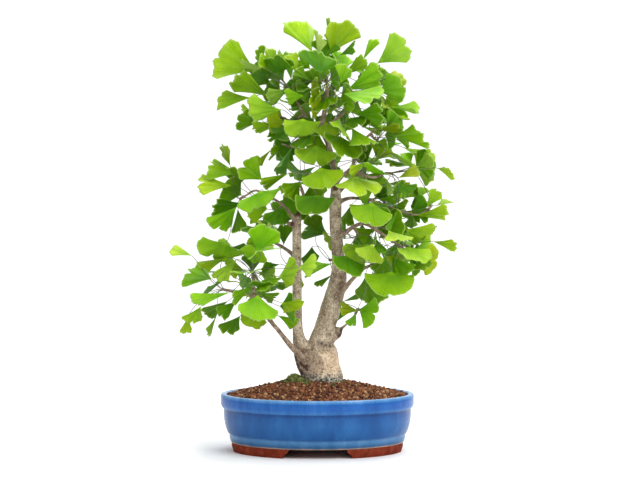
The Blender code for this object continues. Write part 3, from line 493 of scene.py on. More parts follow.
# The wood is one living body: a swollen foot, a main trunk, a slimmer second trunk cut off flat,
# and branches that end in twigs. Its limbs follow the CAD's routes on smooth curves, are grown
# together by a remesh, and get their bark from moved points. Route points: x, y, z, radius.
WOOD = (
    ("trunk", (
        (16.5, 2, 72, 30), (16.5, 2, 106, 30), (14.5, 2, 112, 28.8), (13.5, 2, 124, 27.4),
        (14, 1, 137, 25.4), (13.5, 1, 149, 22.7), (11.6, 0, 158, 18.6), (12, 0, 166, 16.2),
        (15.2, 1, 175, 14.9), (21, 2, 191, 15.2), (27.3, 4, 212, 15.2), (33.6, 6, 233, 14.2),
        (38.6, 7, 255, 13), (39.5, 6, 276, 10.5), (37, 4, 307, 9.2), (34.5, 2, 339, 9.2),
        (34.5, 0, 370, 9.0), (34.6, -1, 386, 7.8), (33, -2, 398, 6.0), (30.5, -2, 430, 4.4),
        (23, -1, 460, 4.2), (13.5, 0, 484, 5.6), (17, 1, 500, 4.0), (20.8, 1, 528, 3.4),
        (22, 1, 541, 2.6))),
    ("left trunk", (
        (9, 0, 92, 16), (4, -1, 112, 17), (-3, -2, 124, 18.6), (-8.6, -3, 137, 17.8),
        (-13.5, -4, 149, 15.5), (-17.5, -5, 158, 12.4), (-21, -6, 171, 8.8), (-22.6, -7, 192, 7.5),
        (-23.2, -8, 255, 7.1), (-23.4, -9, 320, 7.0), (-23.6, -9, 347, 7.0), (-23.4, -9, 352, 5.2))),
    ("lower left", (
        (-8, -14, 129, 6), (-15, -22, 139, 4.4), (-32, -27, 156, 3.6), (-50, -27, 180, 3.4),
        (-64, -25, 196, 3.2), (-82, -24, 222, 2.9), (-87, -22, 241, 2.6), (-88, -20, 256, 2.2))),
    ("lower left twig", (
        (-83, -24, 224, 2.4), (-98, -20, 236, 2.0), (-114, -14, 236, 1.9), (-127, -10, 239, 1.7))),
    ("lower back twig", (
        (-58, -24, 190, 2.6), (-70, 4, 206, 2.1), (-86, 32, 226, 1.9), (-98, 48, 240, 1.7))),
    ("burl", ((28, -2, 172, 11), (36, -4, 176, 9.6), (41, -6, 179, 6.0))),
    ("burl twig", ((37, -5, 177, 2.4), (54, -6, 191, 1.6), (64, -4, 203, 1.6))),
    ("right low", (
        (36, 2, 228, 6.2), (45, -8, 238, 4.4), (57, -14, 253, 3.3), (68, -18, 265, 3.1),
        (76, -20, 272, 2.6), (85, -20, 276, 2.2))),
    ("right low back", (
        (40, 6, 262, 4.4), (58, 26, 276, 2.8), (80, 46, 290, 2.2), (96, 58, 296, 1.9))),
    ("right middle", (
        (35, 0, 320, 6.4), (47, -5, 324, 4.2), (61, -9, 334, 3.2), (75, -14, 339, 3.0),
        (88, -18, 334, 2.8), (102, -22, 324, 2.4), (124, -20, 310, 2.0))),
    ("right far", (
        (34, 2, 368, 5.0), (54, 8, 377, 2.8), (78, 12, 376, 2.3), (102, 10, 370, 2.0),
        (126, 8, 360, 1.8), (156, 4, 352, 1.6), (172, 2, 359, 1.4))),
    ("right upper", (
        (33, -2, 396, 4.6), (44, 6, 410, 3.2), (60, 12, 425, 2.8), (64, 14, 444, 2.6),
        (74, 12, 462, 2.2), (87, 10, 474, 1.9), (104, 8, 492, 1.6))),
    ("right upper twig", (
        (58, 11, 423, 2.8), (76, 4, 412, 2.3), (94, -4, 408, 2.0), (108, -6, 414, 1.8))),
    ("crown right", (
        (14, 0, 482, 3.6), (34, -4, 494, 2.4), (56, -8, 512, 1.9), (68, -6, 526, 1.7), (80, -2, 538, 1.5))),
    ("crown left", (
        (13, 0, 486, 3.6), (-6, -4, 494, 2.4), (-20, -8, 516, 1.9), (-27, -8, 530, 1.6))),
    ("left high", (
        (14, 0, 480, 3.6), (-4, 6, 481, 2.4), (-24, 4, 486, 1.9), (-40, 0, 496, 1.6))),
    ("left middle", (
        (29, -2, 432, 3.4), (8, -8, 440, 2.4), (-14, -12, 448, 2.0), (-32, -12, 453, 1.7),
        (-46, -10, 458, 1.5))),
    ("left shoulder", (
        (-23.5, -9, 338, 4.0), (-36, -14, 358, 2.6), (-52, -18, 372, 2.1), (-74, -20, 384, 1.9),
        (-86, -18, 388, 1.8), (-100, -16, 380, 1.6))),
    ("left shoulder upright", (
        (-23, -9, 344, 4.2), (-18, -6, 366, 3.0), (-14, -2, 382, 2.6), (-18, 2, 396, 2.0))),
    ("left stub", ((-25, -9, 337, 4.4), (-33, -11, 338, 3.8), (-37, -12, 340, 3.2))),
    ("back low", (
        (-23.3, -8, 286, 4.6), (-34, 14, 296, 3.2), (-50, 40, 306, 2.6), (-64, 60, 312, 2.0))),
    ("back middle", (
        (34.5, 1, 350, 5.4), (30, 22, 362, 3.6), (16, 46, 378, 2.8), (4, 66, 388, 2.2))),
    ("back right", (
        (34, -1, 382, 5.0), (48, 20, 396, 3.4), (66, 44, 414, 2.6), (80, 62, 424, 2.0))),
    ("back high", (
        (22, -1, 464, 4.0), (16, 18, 474, 3.0), (8, 40, 486, 2.4), (0, 56, 496, 2.0))),
    ("front middle", (
        (34, -2, 392, 4.6), (26, -20, 402, 3.0), (14, -36, 408, 2.4), (4, -46, 410, 1.9))),
)

LIMB_STEPS = 5
LIMB_SIDES, TWIG_SIDES, TWIG_MOST = 24, 12, 6.0
FLAT_CUT_LIMBS = ("trunk", "left trunk")
VOXEL = 1.15
SMOOTH_PASSES, SMOOTHED_FROM = 4, 2.8
BARK_DEPTH, BARK_GIRTH_MOST = 0.042, 20.0
CRACKLE_DEPTH, CRACKLE_GIRTH_MOST = 0.012, 10.0
WOOD_TIP_SHARE = 0.75
# Knots: x, y, z, size, rise. Scars: x, y, z, reach.
KNOTS = (
    (38, -12, 438, 6.5, 0.9), (-18, -15, 302, 5.0, 1.4), (41, -9, 180, 7.0, 1.2), (36, -8, 322, 6.0, 1.6),
    (24, -12, 256, 5.0, 1.2), (-22, -13, 214, 4.5, 1.0), (38, -10, 292, 4.5, 1.2), (28, -10, 208, 4.0, 0.9),
    (20, -26, 132, 9.0, 1.4), (1, -24, 118, 9.0, 1.6), (34, -20, 122, 8.0, 1.6), (30, -14, 350, 5.0, 1.3))
SCARS = (
    (35, -10, 393, 7.0), (37, -10, 404, 5.5), (34, -8, 412, 5.0), (-11, -21, 127, 6.5), (-9, -23, 122, 6.0),
    (-16, -17, 131, 5.5), (-25, -8, 137, 8.0), (-21, -10, 127, 7.0), (-17, -12, 118, 7.0),
    (-23, -10, 352, 8.5), (-30, -12, 338, 5.0), (44, -8, 178, 6.0), (40, -8, 172, 6.0), (-22, -13, 302, 4.0))
ADDED_WOOD = (
    ("collar of the lower left branch", (
        (-9, -24, 131, 4.8), (-16, -29, 142, 4.4), (-27, -30, 153, 3.9), (-40, -28, 168, 3.4),
        (-52, -27, 182, 3.3))),
    ("wood under the burl", ((19, -3, 160, 10), (26, -4, 167, 9.5), (32, -5, 176, 8.5))))
SWELLING, SWELLING_REACH = (24, -18, 126), 34.0
# The fold where the trunk meets the swollen foot is pressed in, and darkened as painted shade.
CREASE = (
    (-6, -18, 168), (0, -19, 166), (7, -19, 164), (14, -18, 161), (20, -17, 158), (26, -13, 156),
    (30, -7, 155))
CREASE_REACH, CREASE_DEPTH, CREASE_PAINTED_SHADE = 6.4, 1.6, 0.45
# Lichen fades out between these heights, in metres.
LICHEN_LOW, LICHEN_HIGH = 0.100, 0.138


def curve_between(points, index, share):
    """A Catmull-Rom place on a route of vectors that carry their radius as a fourth number."""
    last = len(points) - 1
    before, start = points[max(index - 1, 0)], points[index]
    end, after = points[index + 1], points[min(index + 2, last)]
    square, cube = share * share, share ** 3
    return 0.5 * (
        2 * start + (end - before) * share + (2 * before - 5 * start + 4 * end - after) * square
        + (3 * start - before - 3 * end + after) * cube)


def smooth_route(points, steps):
    """A route taken along its curve in finer steps."""
    fine = []
    for index in range(len(points) - 1):
        fine += [curve_between(points, index, step / steps) for step in range(steps)]
    return fine + [points[-1]]


def tube(bm, route, radii, sides, round_tip=False):
    """A tube of rings about a route, closed at both ends, and its rings' points. The rings don't twist."""
    last = len(route) - 1
    rings = []
    spokes = [math.tau * side / sides for side in range(sides)]
    circle = [Vector((math.cos(spoke), math.sin(spoke), 0)) for spoke in spokes]
    heading = Vector((0, 0, 1))
    turn = Matrix.Identity(3)
    for index, (place, radius) in enumerate(zip(route, radii)):
        along = (route[min(index + 1, last)] - route[max(index - 1, 0)]).normalized()
        turn = heading.rotation_difference(along).to_matrix() @ turn
        heading = along
        rings.append([bm.verts.new(place + turn @ spot * radius) for spot in circle])
    for low, high in zip(rings, rings[1:]):
        for side in range(sides):
            following = (side + 1) % sides
            bm.faces.new((low[side], low[following], high[following], high[side]))
    bm.faces.new(rings[0][::-1])
    if round_tip:
        peak = bm.verts.new(route[-1] + heading * radii[-1] * WOOD_TIP_SHARE)
        for side in range(sides):
            bm.faces.new((rings[-1][side], rings[-1][(side + 1) % sides], peak))
    else:
        bm.faces.new(rings[-1])
    return [vert for ring in rings for vert in ring]


def bark_height(place, radius):
    """How far the bark stands out: swellings, long plates and a fine crackle, deeper on thick limbs."""
    long = Vector((place.x, place.y, place.z * 0.35))
    swell = noise.noise(long * 0.055) * 1.6
    plates = noise.fractal(long * 0.22, 0.7, 2.1, 3)
    crackle = noise.fractal(place * 0.55, 0.8, 2.0, 2)
    coarse = min(radius, BARK_GIRTH_MOST)
    fine = min(radius, CRACKLE_GIRTH_MOST)
    return coarse * (0.5 * swell + 0.8 * plates) * BARK_DEPTH + fine * CRACKLE_DEPTH * crackle


def knot_height(place):
    """Bosses where old branches were cut, each with a sunken middle."""
    height = 0.0
    for x, y, z, size, rise in KNOTS:
        reach = (place - Vector((x, y, z))).length / size
        if reach < 1.6:
            height += rise * (math.exp(-2.2 * reach * reach) - 0.75 * math.exp(-14.0 * reach * reach))
    return height


def crease_share(place):
    """How near a place is to the fold where the trunk meets the swollen foot, as 0 to 1."""
    nearest = min((place - Vector(spot)).length for spot in CREASE)
    return max(0.0, 1 - nearest / CREASE_REACH)


def joined_limbs():
    """Every limb as a tube, grown together by a remesh, and the places and radii along their middles."""
    bm = bmesh.new()
    girths = []
    for name, points in WOOD + ADDED_WOOD:
        fine = smooth_route([Vector(point) for point in points], LIMB_STEPS)
        route, radii = [point.to_3d() for point in fine], [point.w for point in fine]
        sides = LIMB_SIDES if max(radii) > TWIG_MOST else TWIG_SIDES
        tube(bm, route, radii, sides, name not in FLAT_CUT_LIMBS)
        girths += list(zip(route, radii))
    limbs = new_object("limbs", bm)
    apply_modifier(limbs, "REMESH", mode="VOXEL", voxel_size=VOXEL)
    return opened(limbs), girths


def nearness(place, spot, reach):
    """1 at a spot, falling to 0 at its reach."""
    return max(0.0, 1 - (place - Vector(spot)).length / reach)


def grown_wood():
    """The joined limbs, smoothed where they are thick and then barked, with what the bark's colour needs."""
    bm, girths = joined_limbs()
    middles = kdtree.KDTree(len(girths))
    for index, (place, _) in enumerate(girths):
        middles.insert(place, index)
    middles.balance()
    radius_at = [girths[middles.find(vert.co)[1]][1] for vert in bm.verts]
    thick = [vert for vert, radius in zip(bm.verts, radius_at) if radius > SMOOTHED_FROM]
    for _ in range(SMOOTH_PASSES):
        bmesh.ops.smooth_vert(bm, verts=thick, factor=0.5, use_axis_x=True, use_axis_y=True, use_axis_z=True)
    bm.normal_update()
    scar_and_crease_shade, girth, stretched = [bm.verts.layers.float.new(layer) for layer in ("scar_and_crease_shade", "girth", "stretched")]
    for vert, radius in zip(bm.verts, radius_at):
        place = vert.co.copy()
        fold = crease_share(place)
        relief = bark_height(place, radius) + knot_height(place) - CREASE_DEPTH * fold ** 2
        vert.co = place + vert.normal * relief
        vert[girth] = min(radius / BARK_GIRTH_MOST, 1.0)
        darkened = max(nearness(place, (x, y, z), reach) for x, y, z, reach in SCARS)
        # Painted shade: the crease is darkened in the same mask as the scars.
        vert[scar_and_crease_shade] = max(darkened, CREASE_PAINTED_SHADE * fold)
        vert[stretched] = nearness(place, SWELLING, SWELLING_REACH)
    for face in bm.faces:
        face.smooth = True
    return bm


def bark_links(tree, shader):
    """Grey-brown bark: dark on thin limbs, pale where stretched, lichened at the soil, red in scars, and dark
    in the crease above the foot as painted shade.
    """
    place = object_place(tree)
    girth = node(tree, "Attribute", attribute_name="girth").outputs["Fac"]
    scar_and_crease_shade = node(tree, "Attribute", attribute_name="scar_and_crease_shade").outputs["Fac"]
    taut = node(tree, "Attribute", attribute_name="stretched").outputs["Fac"]
    long = node(tree, "Mapping", Vector=place, Scale=(1, 1, 0.75)).outputs[0]
    patches = mottled(tree, long, 90, 480, 0.5)
    flecks = mottled(tree, place, 330, 1000, 0.5)
    thick = ramp(
        tree, patches, (0.34, (0.18, 0.130, 0.088)), (0.44, (0.36, 0.275, 0.195)),
        (0.53, (0.50, 0.405, 0.300)), (0.64, (0.68, 0.58, 0.450)))
    tight = ramp(
        tree, patches, (0.36, (0.52, 0.37, 0.235)), (0.5, (0.74, 0.56, 0.385)), (0.64, (0.86, 0.70, 0.52)))
    thick = blended(tree, ramp(tree, taut, (0.05, (0, 0, 0)), (0.5, (0.9, 0.9, 0.9))), thick, tight)
    thin = ramp(
        tree, patches, (0.36, (0.12, 0.082, 0.056)), (0.5, (0.28, 0.195, 0.135)),
        (0.64, (0.45, 0.335, 0.245)))
    girth_share = ramp(tree, girth, (0.18, (0, 0, 0)), (0.34, (1, 1, 1)))
    bark = blended(tree, girth_share, thin, thick)
    specks = ramp(
        tree, flecks, (0.37, (0.28, 0.23, 0.19)), (0.43, (0.68, 0.63, 0.58)), (0.49, (1, 1, 1)),
        (0.60, (1.25, 1.24, 1.22)))
    bark = blended(tree, 0.9, bark, specks, "MULTIPLY")
    height = node(tree, "SeparateXYZ", Vector=place).outputs["Z"]
    low = node(tree, "MapRange", Value=height, From_Min=LICHEN_LOW, From_Max=LICHEN_HIGH).outputs[0]
    dampness = ramp(tree, maths(tree, "ADD", low, patches), (0.68, (1, 1, 1)), (0.98, (0, 0, 0)))
    lichen = ramp(
        tree, flecks, (0.42, (0.018, 0.017, 0.014)), (0.485, (0.065, 0.060, 0.042)),
        (0.525, (0.30, 0.29, 0.23)), (0.58, (0.70, 0.70, 0.62)))
    bark = blended(tree, dampness, bark, lichen)
    # This mask holds the real scars and the painted shade in the crease.
    darkened_edge = maths(tree, "MULTIPLY_ADD", flecks, 0.9, scar_and_crease_shade)
    darkened = ramp(tree, darkened_edge, (0.60, (0, 0, 0)), (0.84, (0.92, 0.92, 0.92)))
    bark = blended(tree, darkened, bark, (0.060, 0.024, 0.013))
    tree.links.new(bark, shader.inputs["Base Color"])
    shader.inputs["Roughness"].default_value = 0.85
    bumped(tree, shader, maths(tree, "ADD", patches, flecks), 1.0, 0.0014)


bark = new_material("ginkgo bark", bark_links)
wood = finished("ginkgo_wood", grown_wood(), bark)
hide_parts("tree_wood")


# The leaves stand in bunches on short shoots, each leaf a fan on a long stalk. The CAD node of a bunch
# says where its leaves are: each leaf is worked out as the CAD works it out, at every depth and bend that
# it may have, and the one that lies in the CAD solid is kept, then made with a fine edge and veins.
# The shoots are given by name and by their place on the wood.
SHOOTS = (
    ("crown_top", (22, 1, 541)), ("crown_front", (20, 0, 520)), ("crown_right_tip", (80, -2, 538)),
    ("crown_right_mid", (56, -8, 512)), ("crown_left_tip", (-27, -8, 530)),
    ("crown_left_mid", (-12, -6, 503)),
    ("crown_fork", (13.5, 0, 486)), ("left_high_tip", (-40, 0, 496)), ("left_high_mid", (-14, 5, 483)),
    ("left_middle_tip", (-46, -10, 458)), ("left_middle_mid", (-14, -12, 448)),
    ("right_upper_tip", (104, 8, 492)), ("right_upper_mid", (62, 13, 436)),
    ("right_upper_bend", (87, 10, 474)),
    ("right_twig_tip", (108, -6, 414)),
    ("right_far_tip", (172, 2, 359)), ("right_far_mid", (126, 8, 360)), ("right_far_inner", (78, 12, 376)),
    ("right_middle_tip", (124, -20, 310)), ("right_middle_mid", (92, -19, 331)),
    ("right_middle_inner", (61, -9, 334)),
    ("right_low_tip", (85, -20, 276)), ("burl_tip", (64, -4, 203)),
    ("front_middle_tip", (4, -46, 410)), ("left_shoulder_tip", (-100, -16, 380)),
    ("left_shoulder_mid", (-74, -20, 384)), ("left_shoulder_inner", (-44, -16, 366)),
    ("left_upright_tip", (-18, 2, 396)), ("trunk_side_low", (36, 5, 284)),
    ("left_trunk_side", (-23.2, -8, 272)),
    ("lower_left_tip", (-88, -20, 256)), ("lower_left_mid", (-84, -24, 230)),
    ("lower_left_far", (-127, -10, 239)),
    ("lower_back_tip", (-98, 48, 240)), ("back_low_tip", (-64, 60, 312)), ("back_middle_tip", (4, 66, 388)),
    ("back_right_tip", (80, 62, 424)), ("back_high_tip", (0, 56, 496)),
    ("right_low_back_tip", (96, 58, 296)),
)

# Seen from the front, in mm: stalk end, both side corners of the fan, then in front of, level with or behind
# its shoot (f, s, b), and its tint, which holds painted light and shade as well as the leaf's own tone.
LEAVES = (
    # The crown
    (-85, 568, -148, 560, -114, 608, "s", "l"), (-76, 573, -104, 585, -92, 568, "f", "p"),
    (-76, 574, -88, 590, -72, 603, "b", "m"), (-55, 568, -78, 572, -56, 600, "s", "m"),
    (-32, 556, -54, 591, -28, 592, "b", "m"), (-20, 561, -42, 580, -25, 591, "f", "l"),
    (-6, 555, -26, 558, -16, 573, "f", "m"), (-1, 597, -46, 630, 5, 639, "s", "l"),
    (8, 590, 2, 626, 18, 612, "f", "p"), (28, 594, 14, 622, 71, 627, "s", "l"),
    (42, 592, 59, 612, 59, 597, "b", "d"), (11, 564, -20, 592, 38, 579, "f", "d"),
    (46, 567, 24, 592, 59, 585, "b", "m"), (48, 562, 66, 588, 80, 574, "s", "l"),
    (42, 550, 36, 573, 60, 562, "f", "l"), (76, 585, 83, 612, 98, 608, "b", "l"),
    (98, 580, 118, 620, 148, 584, "s", "b"), (23, 602, 22, 639, 28, 638, "b", "m"),
    (14, 537, -10, 558, 11, 564, "b", "d"), (22, 534, 30, 564, 50, 552, "b", "d"),
    (-10, 528, -43, 534, -25, 552, "b", "d"), (26, 510, 14, 486, 47, 483, "b", "d"),
    (14, 516, -19, 534, -25, 516, "b", "d"), (48, 514, 26, 489, 59, 483, "b", "m"),
    # Right of the crown
    (52, 540, 93, 576, 98, 540, "f", "m"), (88, 540, 95, 574, 110, 552, "b", "m"),
    (101, 537, 112, 562, 132, 522, "s", "l"), (107, 550, 118, 570, 136, 548, "b", "y"),
    (47, 534, 65, 512, 107, 544, "f", "b"), (44, 526, -19, 516, 62, 508, "f", "l"),
    (29, 513, 11, 528, 32, 534, "b", "d"), (65, 495, 74, 504, 101, 483, "b", "d"),
    (101, 534, 118, 516, 102, 516, "b", "y"), (116, 514, 155, 516, 148, 502, "s", "b"),
    (120, 496, 134, 502, 143, 494, "s", "m"), (100, 502, 119, 496, 108, 489, "b", "p"),
    (100, 480, 120, 489, 130, 472, "s", "o"), (76, 484, 100, 483, 94, 472, "b", "d"),
    (68, 504, 92, 518, 100, 488, "f", "d"), (59, 482, 60, 459, 98, 465, "f", "m"),
    (40, 496, 32, 490, 58, 468, "f", "m"), (89, 510, 80, 528, 107, 522, "b", "m"),
    # Left of the crown
    (-14, 496, -42, 492, 11, 492, "f", "l"), (-36, 478, -62, 477, -60, 462, "s", "d"),
    (-48, 489, -86, 489, -76, 476, "s", "o"), (-48, 510, -91, 525, -80, 490, "f", "b"),
    (-84, 490, -97, 506, -108, 478, "s", "d"), (-92, 507, -103, 516, -103, 506, "b", "y"),
    (-94, 528, -132, 540, -136, 508, "s", "l"), (-66, 530, -122, 544, -94, 564, "s", "m"),
    (-52, 520, -85, 525, -68, 513, "b", "d"), (-37, 540, -64, 538, -55, 518, "f", "g"),
    (-14, 531, -36, 540, -31, 520, "f", "m"), (-1, 534, -16, 544, -10, 520, "b", "d"),
    (-1, 522, -31, 525, -25, 513, "b", "d"), (-34, 495, -61, 504, -55, 483, "b", "d"),
    # High on the right
    (120, 470, 149, 478, 173, 448, "s", "l"), (137, 453, 180, 447, 172, 422, "b", "o"),
    (90, 459, 107, 466, 107, 448, "s", "d"), (107, 453, 148, 428, 131, 441, "f", "m"),
    (148, 426, 131, 438, 150, 442, "b", "l"), (148, 426, 114, 436, 124, 422, "s", "m"),
    (130, 408, 149, 428, 155, 410, "s", "y"), (188, 422, 196, 424, 210, 406, "s", "y"),
    (114, 399, 137, 406, 143, 387, "s", "o"), (110, 405, 119, 396, 114, 384, "f", "p"),
    (102, 376, 130, 384, 122, 368, "s", "m"), (120, 364, 140, 374, 134, 360, "b", "m"),
    (172, 364, 173, 387, 194, 378, "s", "m"), (186, 366, 196, 375, 208, 369, "b", "p"),
    (156, 351, 196, 364, 192, 342, "s", "o"), (113, 357, 138, 362, 149, 345, "b", "d"),
    (83, 432, 59, 422, 66, 412, "f", "o"), (114, 412, 82, 430, 89, 417, "f", "m"),
    (80, 424, 70, 447, 88, 452, "b", "d"), (106, 410, 89, 387, 119, 378, "b", "d"),
    (108, 394, 144, 396, 131, 376, "s", "o"), (80, 364, 59, 387, 89, 390, "b", "m"),
    (48, 447, 74, 459, 71, 432, "b", "d"),
    # Middle of the right
    (90, 370, 56, 366, 120, 351, "f", "m"), (125, 356, 112, 333, 136, 345, "s", "g"),
    (150, 352, 136, 339, 155, 338, "b", "p"), (140, 330, 182, 340, 158, 308, "s", "l"),
    (114, 328, 108, 318, 149, 320, "f", "b"), (182, 312, 208, 314, 209, 297, "s", "l"),
    (158, 285, 179, 308, 172, 261, "s", "o"), (142, 304, 124, 297, 176, 296, "f", "l"),
    (161, 290, 154, 274, 179, 284, "f", "d"), (90, 308, 66, 302, 107, 285, "f", "b"),
    (83, 308, 48, 308, 78, 274, "s", "m"), (50, 291, 28, 290, 77, 274, "f", "d"),
    (96, 315, 94, 298, 113, 303, "s", "d"), (108, 288, 88, 276, 118, 266, "s", "d"),
    (120, 290, 118, 267, 149, 273, "s", "m"), (118, 267, 80, 261, 155, 258, "f", "m"),
    (80, 261, 62, 236, 113, 232, "b", "d"), (95, 330, 71, 336, 76, 315, "b", "m"),
    (116, 333, 137, 336, 136, 321, "b", "d"), (59, 368, 44, 351, 59, 339, "b", "d"),
    (119, 351, 128, 324, 101, 324, "b", "d"), (74, 339, 59, 312, 92, 312, "b", "d"),
    (107, 288, 94, 264, 130, 264, "b", "d"), (100, 350, 128, 339, 107, 322, "b", "m"),
    (128, 312, 107, 297, 137, 288, "b", "d"),
    # Below the burl
    (70, 210, 92, 228, 77, 183, "s", "m"), (46, 222, 64, 232, 65, 224, "b", "d"),
    (68, 208, 48, 222, 47, 204, "s", "o"), (65, 204, 52, 192, 68, 190, "f", "d"),
    (56, 206, 40, 194, 41, 208, "b", "d"),
    # In front of the trunk
    (42, 470, 16, 471, 72, 453, "f", "d"), (5, 456, -25, 450, 35, 446, "f", "l"),
    (0, 476, -31, 460, -1, 456, "s", "d"), (4, 424, -32, 416, -14, 408, "s", "m"),
    (11, 423, -16, 405, 44, 418, "f", "m"), (60, 410, 36, 396, 101, 404, "f", "b"),
    (8, 382, -24, 378, 35, 375, "f", "d"), (-14, 400, -46, 393, -32, 382, "s", "m"),
    (-19, 366, -36, 354, -7, 352, "b", "d"), (22, 324, -14, 312, 12, 344, "b", "d"),
    (-1, 304, -16, 285, 10, 290, "s", "d"), (29, 279, 5, 279, -6, 258, "s", "m"),
    (29, 262, 6, 250, 18, 249, "b", "d"), (-22, 444, -49, 432, -37, 465, "b", "d"),
    (8, 324, -13, 339, 14, 348, "b", "d"), (-19, 402, -43, 378, -19, 369, "b", "o"),
    # High on the left
    (-110, 414, -142, 438, -152, 410, "s", "m"), (-122, 396, -163, 414, -163, 384, "s", "l"),
    (-76, 405, -108, 402, -84, 438, "s", "m"), (-62, 450, -82, 438, -78, 429, "b", "o"),
    (-43, 454, -56, 452, -62, 434, "s", "m"), (-31, 453, -54, 426, -46, 417, "f", "g"),
    (-37, 414, -73, 406, -64, 394, "s", "o"), (-78, 388, -110, 372, -50, 393, "f", "l"),
    (-104, 369, -136, 376, -145, 348, "s", "d"), (-115, 363, -157, 344, -122, 333, "f", "m"),
    (-112, 360, -122, 330, -100, 339, "s", "d"), (-44, 364, -72, 352, -34, 345, "s", "d"),
    (-72, 351, -85, 352, -90, 339, "b", "o"),
    # Middle of the left
    (-84, 297, -97, 328, -50, 315, "f", "m"), (-82, 296, -97, 290, -50, 306, "f", "l"),
    (-43, 308, -55, 326, -31, 332, "b", "d"), (-50, 260, -32, 286, -38, 242, "f", "b"),
    (-20, 273, -2, 292, -8, 260, "f", "b"), (-19, 266, -28, 246, -14, 248, "s", "m"),
    (-50, 278, -67, 280, -76, 262, "s", "d"), (-130, 310, -166, 318, -103, 294, "f", "l"),
    (-122, 306, -140, 312, -130, 315, "b", "m"), (-122, 303, -104, 309, -106, 298, "b", "d"),
    (-182, 291, -199, 306, -210, 294, "s", "b"), (-127, 288, -166, 284, -160, 272, "s", "o"),
    (-152, 256, -164, 279, -190, 246, "s", "m"), (-114, 285, -148, 268, -130, 254, "s", "b"),
    (-96, 266, -124, 266, -78, 268, "f", "l"), (-90, 267, -104, 286, -74, 286, "b", "d"),
    (-104, 270, -122, 288, -115, 258, "b", "o"), (-67, 324, -94, 315, -85, 297, "b", "m"),
    # Low on the left
    (-124, 236, -180, 228, -160, 216, "f", "l"), (-128, 222, -166, 214, -146, 201, "b", "d"),
    (-168, 214, -192, 198, -166, 195, "s", "l"), (-186, 200, -199, 180, -181, 182, "s", "l"),
    (-144, 201, -157, 178, -151, 176, "b", "m"), (-109, 200, -140, 186, -108, 180, "s", "d"),
    (-82, 232, -112, 216, -54, 204, "f", "l"), (-88, 246, -112, 240, -115, 219, "f", "m"),
    (-80, 234, -54, 237, -67, 222, "s", "m"), (-46, 220, -18, 226, -43, 204, "f", "l"),
    (-52, 201, -24, 200, -34, 184, "s", "m"), (-85, 214, -106, 201, -70, 190, "s", "o"),
    (-115, 222, -142, 213, -124, 198, "b", "d"),
)
EYE_DISTANCE, EYE_HEIGHT = 2100.0, 314.0
# How far behind its shoot a leaf stands
OFFSETS = {"f": (-62, -30), "s": (-14, 14), "b": (22, 46)}
BACK_SHOOT_DEPTH = 30
LAYOUT_SEED, TINT_SEED = 7, 3
# A fan spreads wider than it looks, in degrees, and is a little longer.
SPREAD_TURN, SPREAD_LEAST, SPREAD_TURNED_MOST, SPREAD_MOST = 24.0, 62.0, 110.0, 165.0
REACH_GAIN = 1.15
FLATNESS, FLAT_HALF_MOST, CORNER_ROUNDING, CORNER_SHARE, CUT_HALF = 0.3, 0.8, 0.04, 0.93, 0.13
CAD_EDGE = (-1.0, -0.64, -0.13, 0.0, 0.13, 0.64, 1.0)
DEPTH_STEPS = (0, -6, 6, -12, 12, -18, 18, -24, 24, -32, 32, -40, 40, -50, 50, 60, 70)
# How far a stalk runs on along the shoot and toward the blade, in shares, and its shift in x and y.
STALK_BENDS = (
    (0.30, 0.30, 0, 0), (0.45, 0.20, 0, 0), (0.15, 0.45, 0, 0), (0.3, 0.3, 9, 0), (0.3, 0.3, -9, 0),
    (0.3, 0.3, 0, 9), (0.3, 0.3, 0, -9), (0.3, 0.3, 16, 8), (0.3, 0.3, -16, -8), (0.5, 0.5, 12, -12),
    (0.5, 0.5, -12, 12))
CUTS, CUPS = (0.06, 0.34), (-0.26, 0.16)
# A ripple along the fan: its size as a share of the reach, its waves, and how a leaf's own phase shifts it.
LOBES, WAVES = (0.03, 8.0, 1), (0.045, 9.5, 2)
# Leaves that the front doesn't show: several on each shoot at the back, and one on every sixth other
BACK_LEAVES, NEAR_EVERY = 4, 6
BACK_STALKS, BACK_SPREADS, BACK_REACHES = (34, 58), (95, 135), (29, 37)
SPUR_LENGTH, SPUR_RADIUS = 9.0, 2.3
STALK_OFFSET = 1.0
STALK_PLACES = (0.45, 0.675, 0.9)
STALK_GUESS, STALK_USUAL, STALK_WEIGHT = 36, 40, 0.8
IN_SOLID = 1.2

# The same leaf as it really looks, finer than the CAD's
COARSE_TEETH, FINE_TEETH, FLUTTER = (0.008, 31, 5), (0.006, 57, 2), (0.018, 23, 3)
BLADE_THICKNESS = 0.4
SIDE_DRAW = 0.16
CORNER_START, CORNER_TRIM = 0.74, 0.11
SMALL_GROWTH, GROWN_REACH, SPREAD_GROWTH = 0.20, 60.0, 1.06
REAL_FLATNESS = 0.45
SLIT_HALF, SLIT_SHARE = 0.085, 0.65
STALK_RADIUS, STALK_STEPS, STALK_SIDES = 0.5, 9, 7
STALK_EASE = 0.75
FILL_SHARE, FULL_FILL_SHARE, FILL_SEED = 0.35, 0.85, 21
# The fill leaves' tints are mostly dark: painted shade inside the bunches.
FILL_SPREADS, FILL_REACHES, FILL_TINTS = (90, 140), (22, 34), "dddmmog"
FULL_BUNCHES = ("crown", "right_far", "right_middle", "right_upper", "right_twig", "front", "left_upright")
OPEN_BUNCHES = ("trunk_side_low", "burl_tip", "right_low_tip", "left_trunk_side")
BLADE_STEPS = 32
BLADE_RINGS = (0.0, 0.12, 0.28, 0.46, 0.64, 0.8, 0.92, 1.0)
UPPER_SLOT, UNDER_SLOT, STALK_SLOT, SPUR_SLOT = 0, 1, 2, 3
SPUR_RINGS, SPUR_SIDES, SPUR_COLOUR = 7, 12, (0.3, 0.2, 0.1)
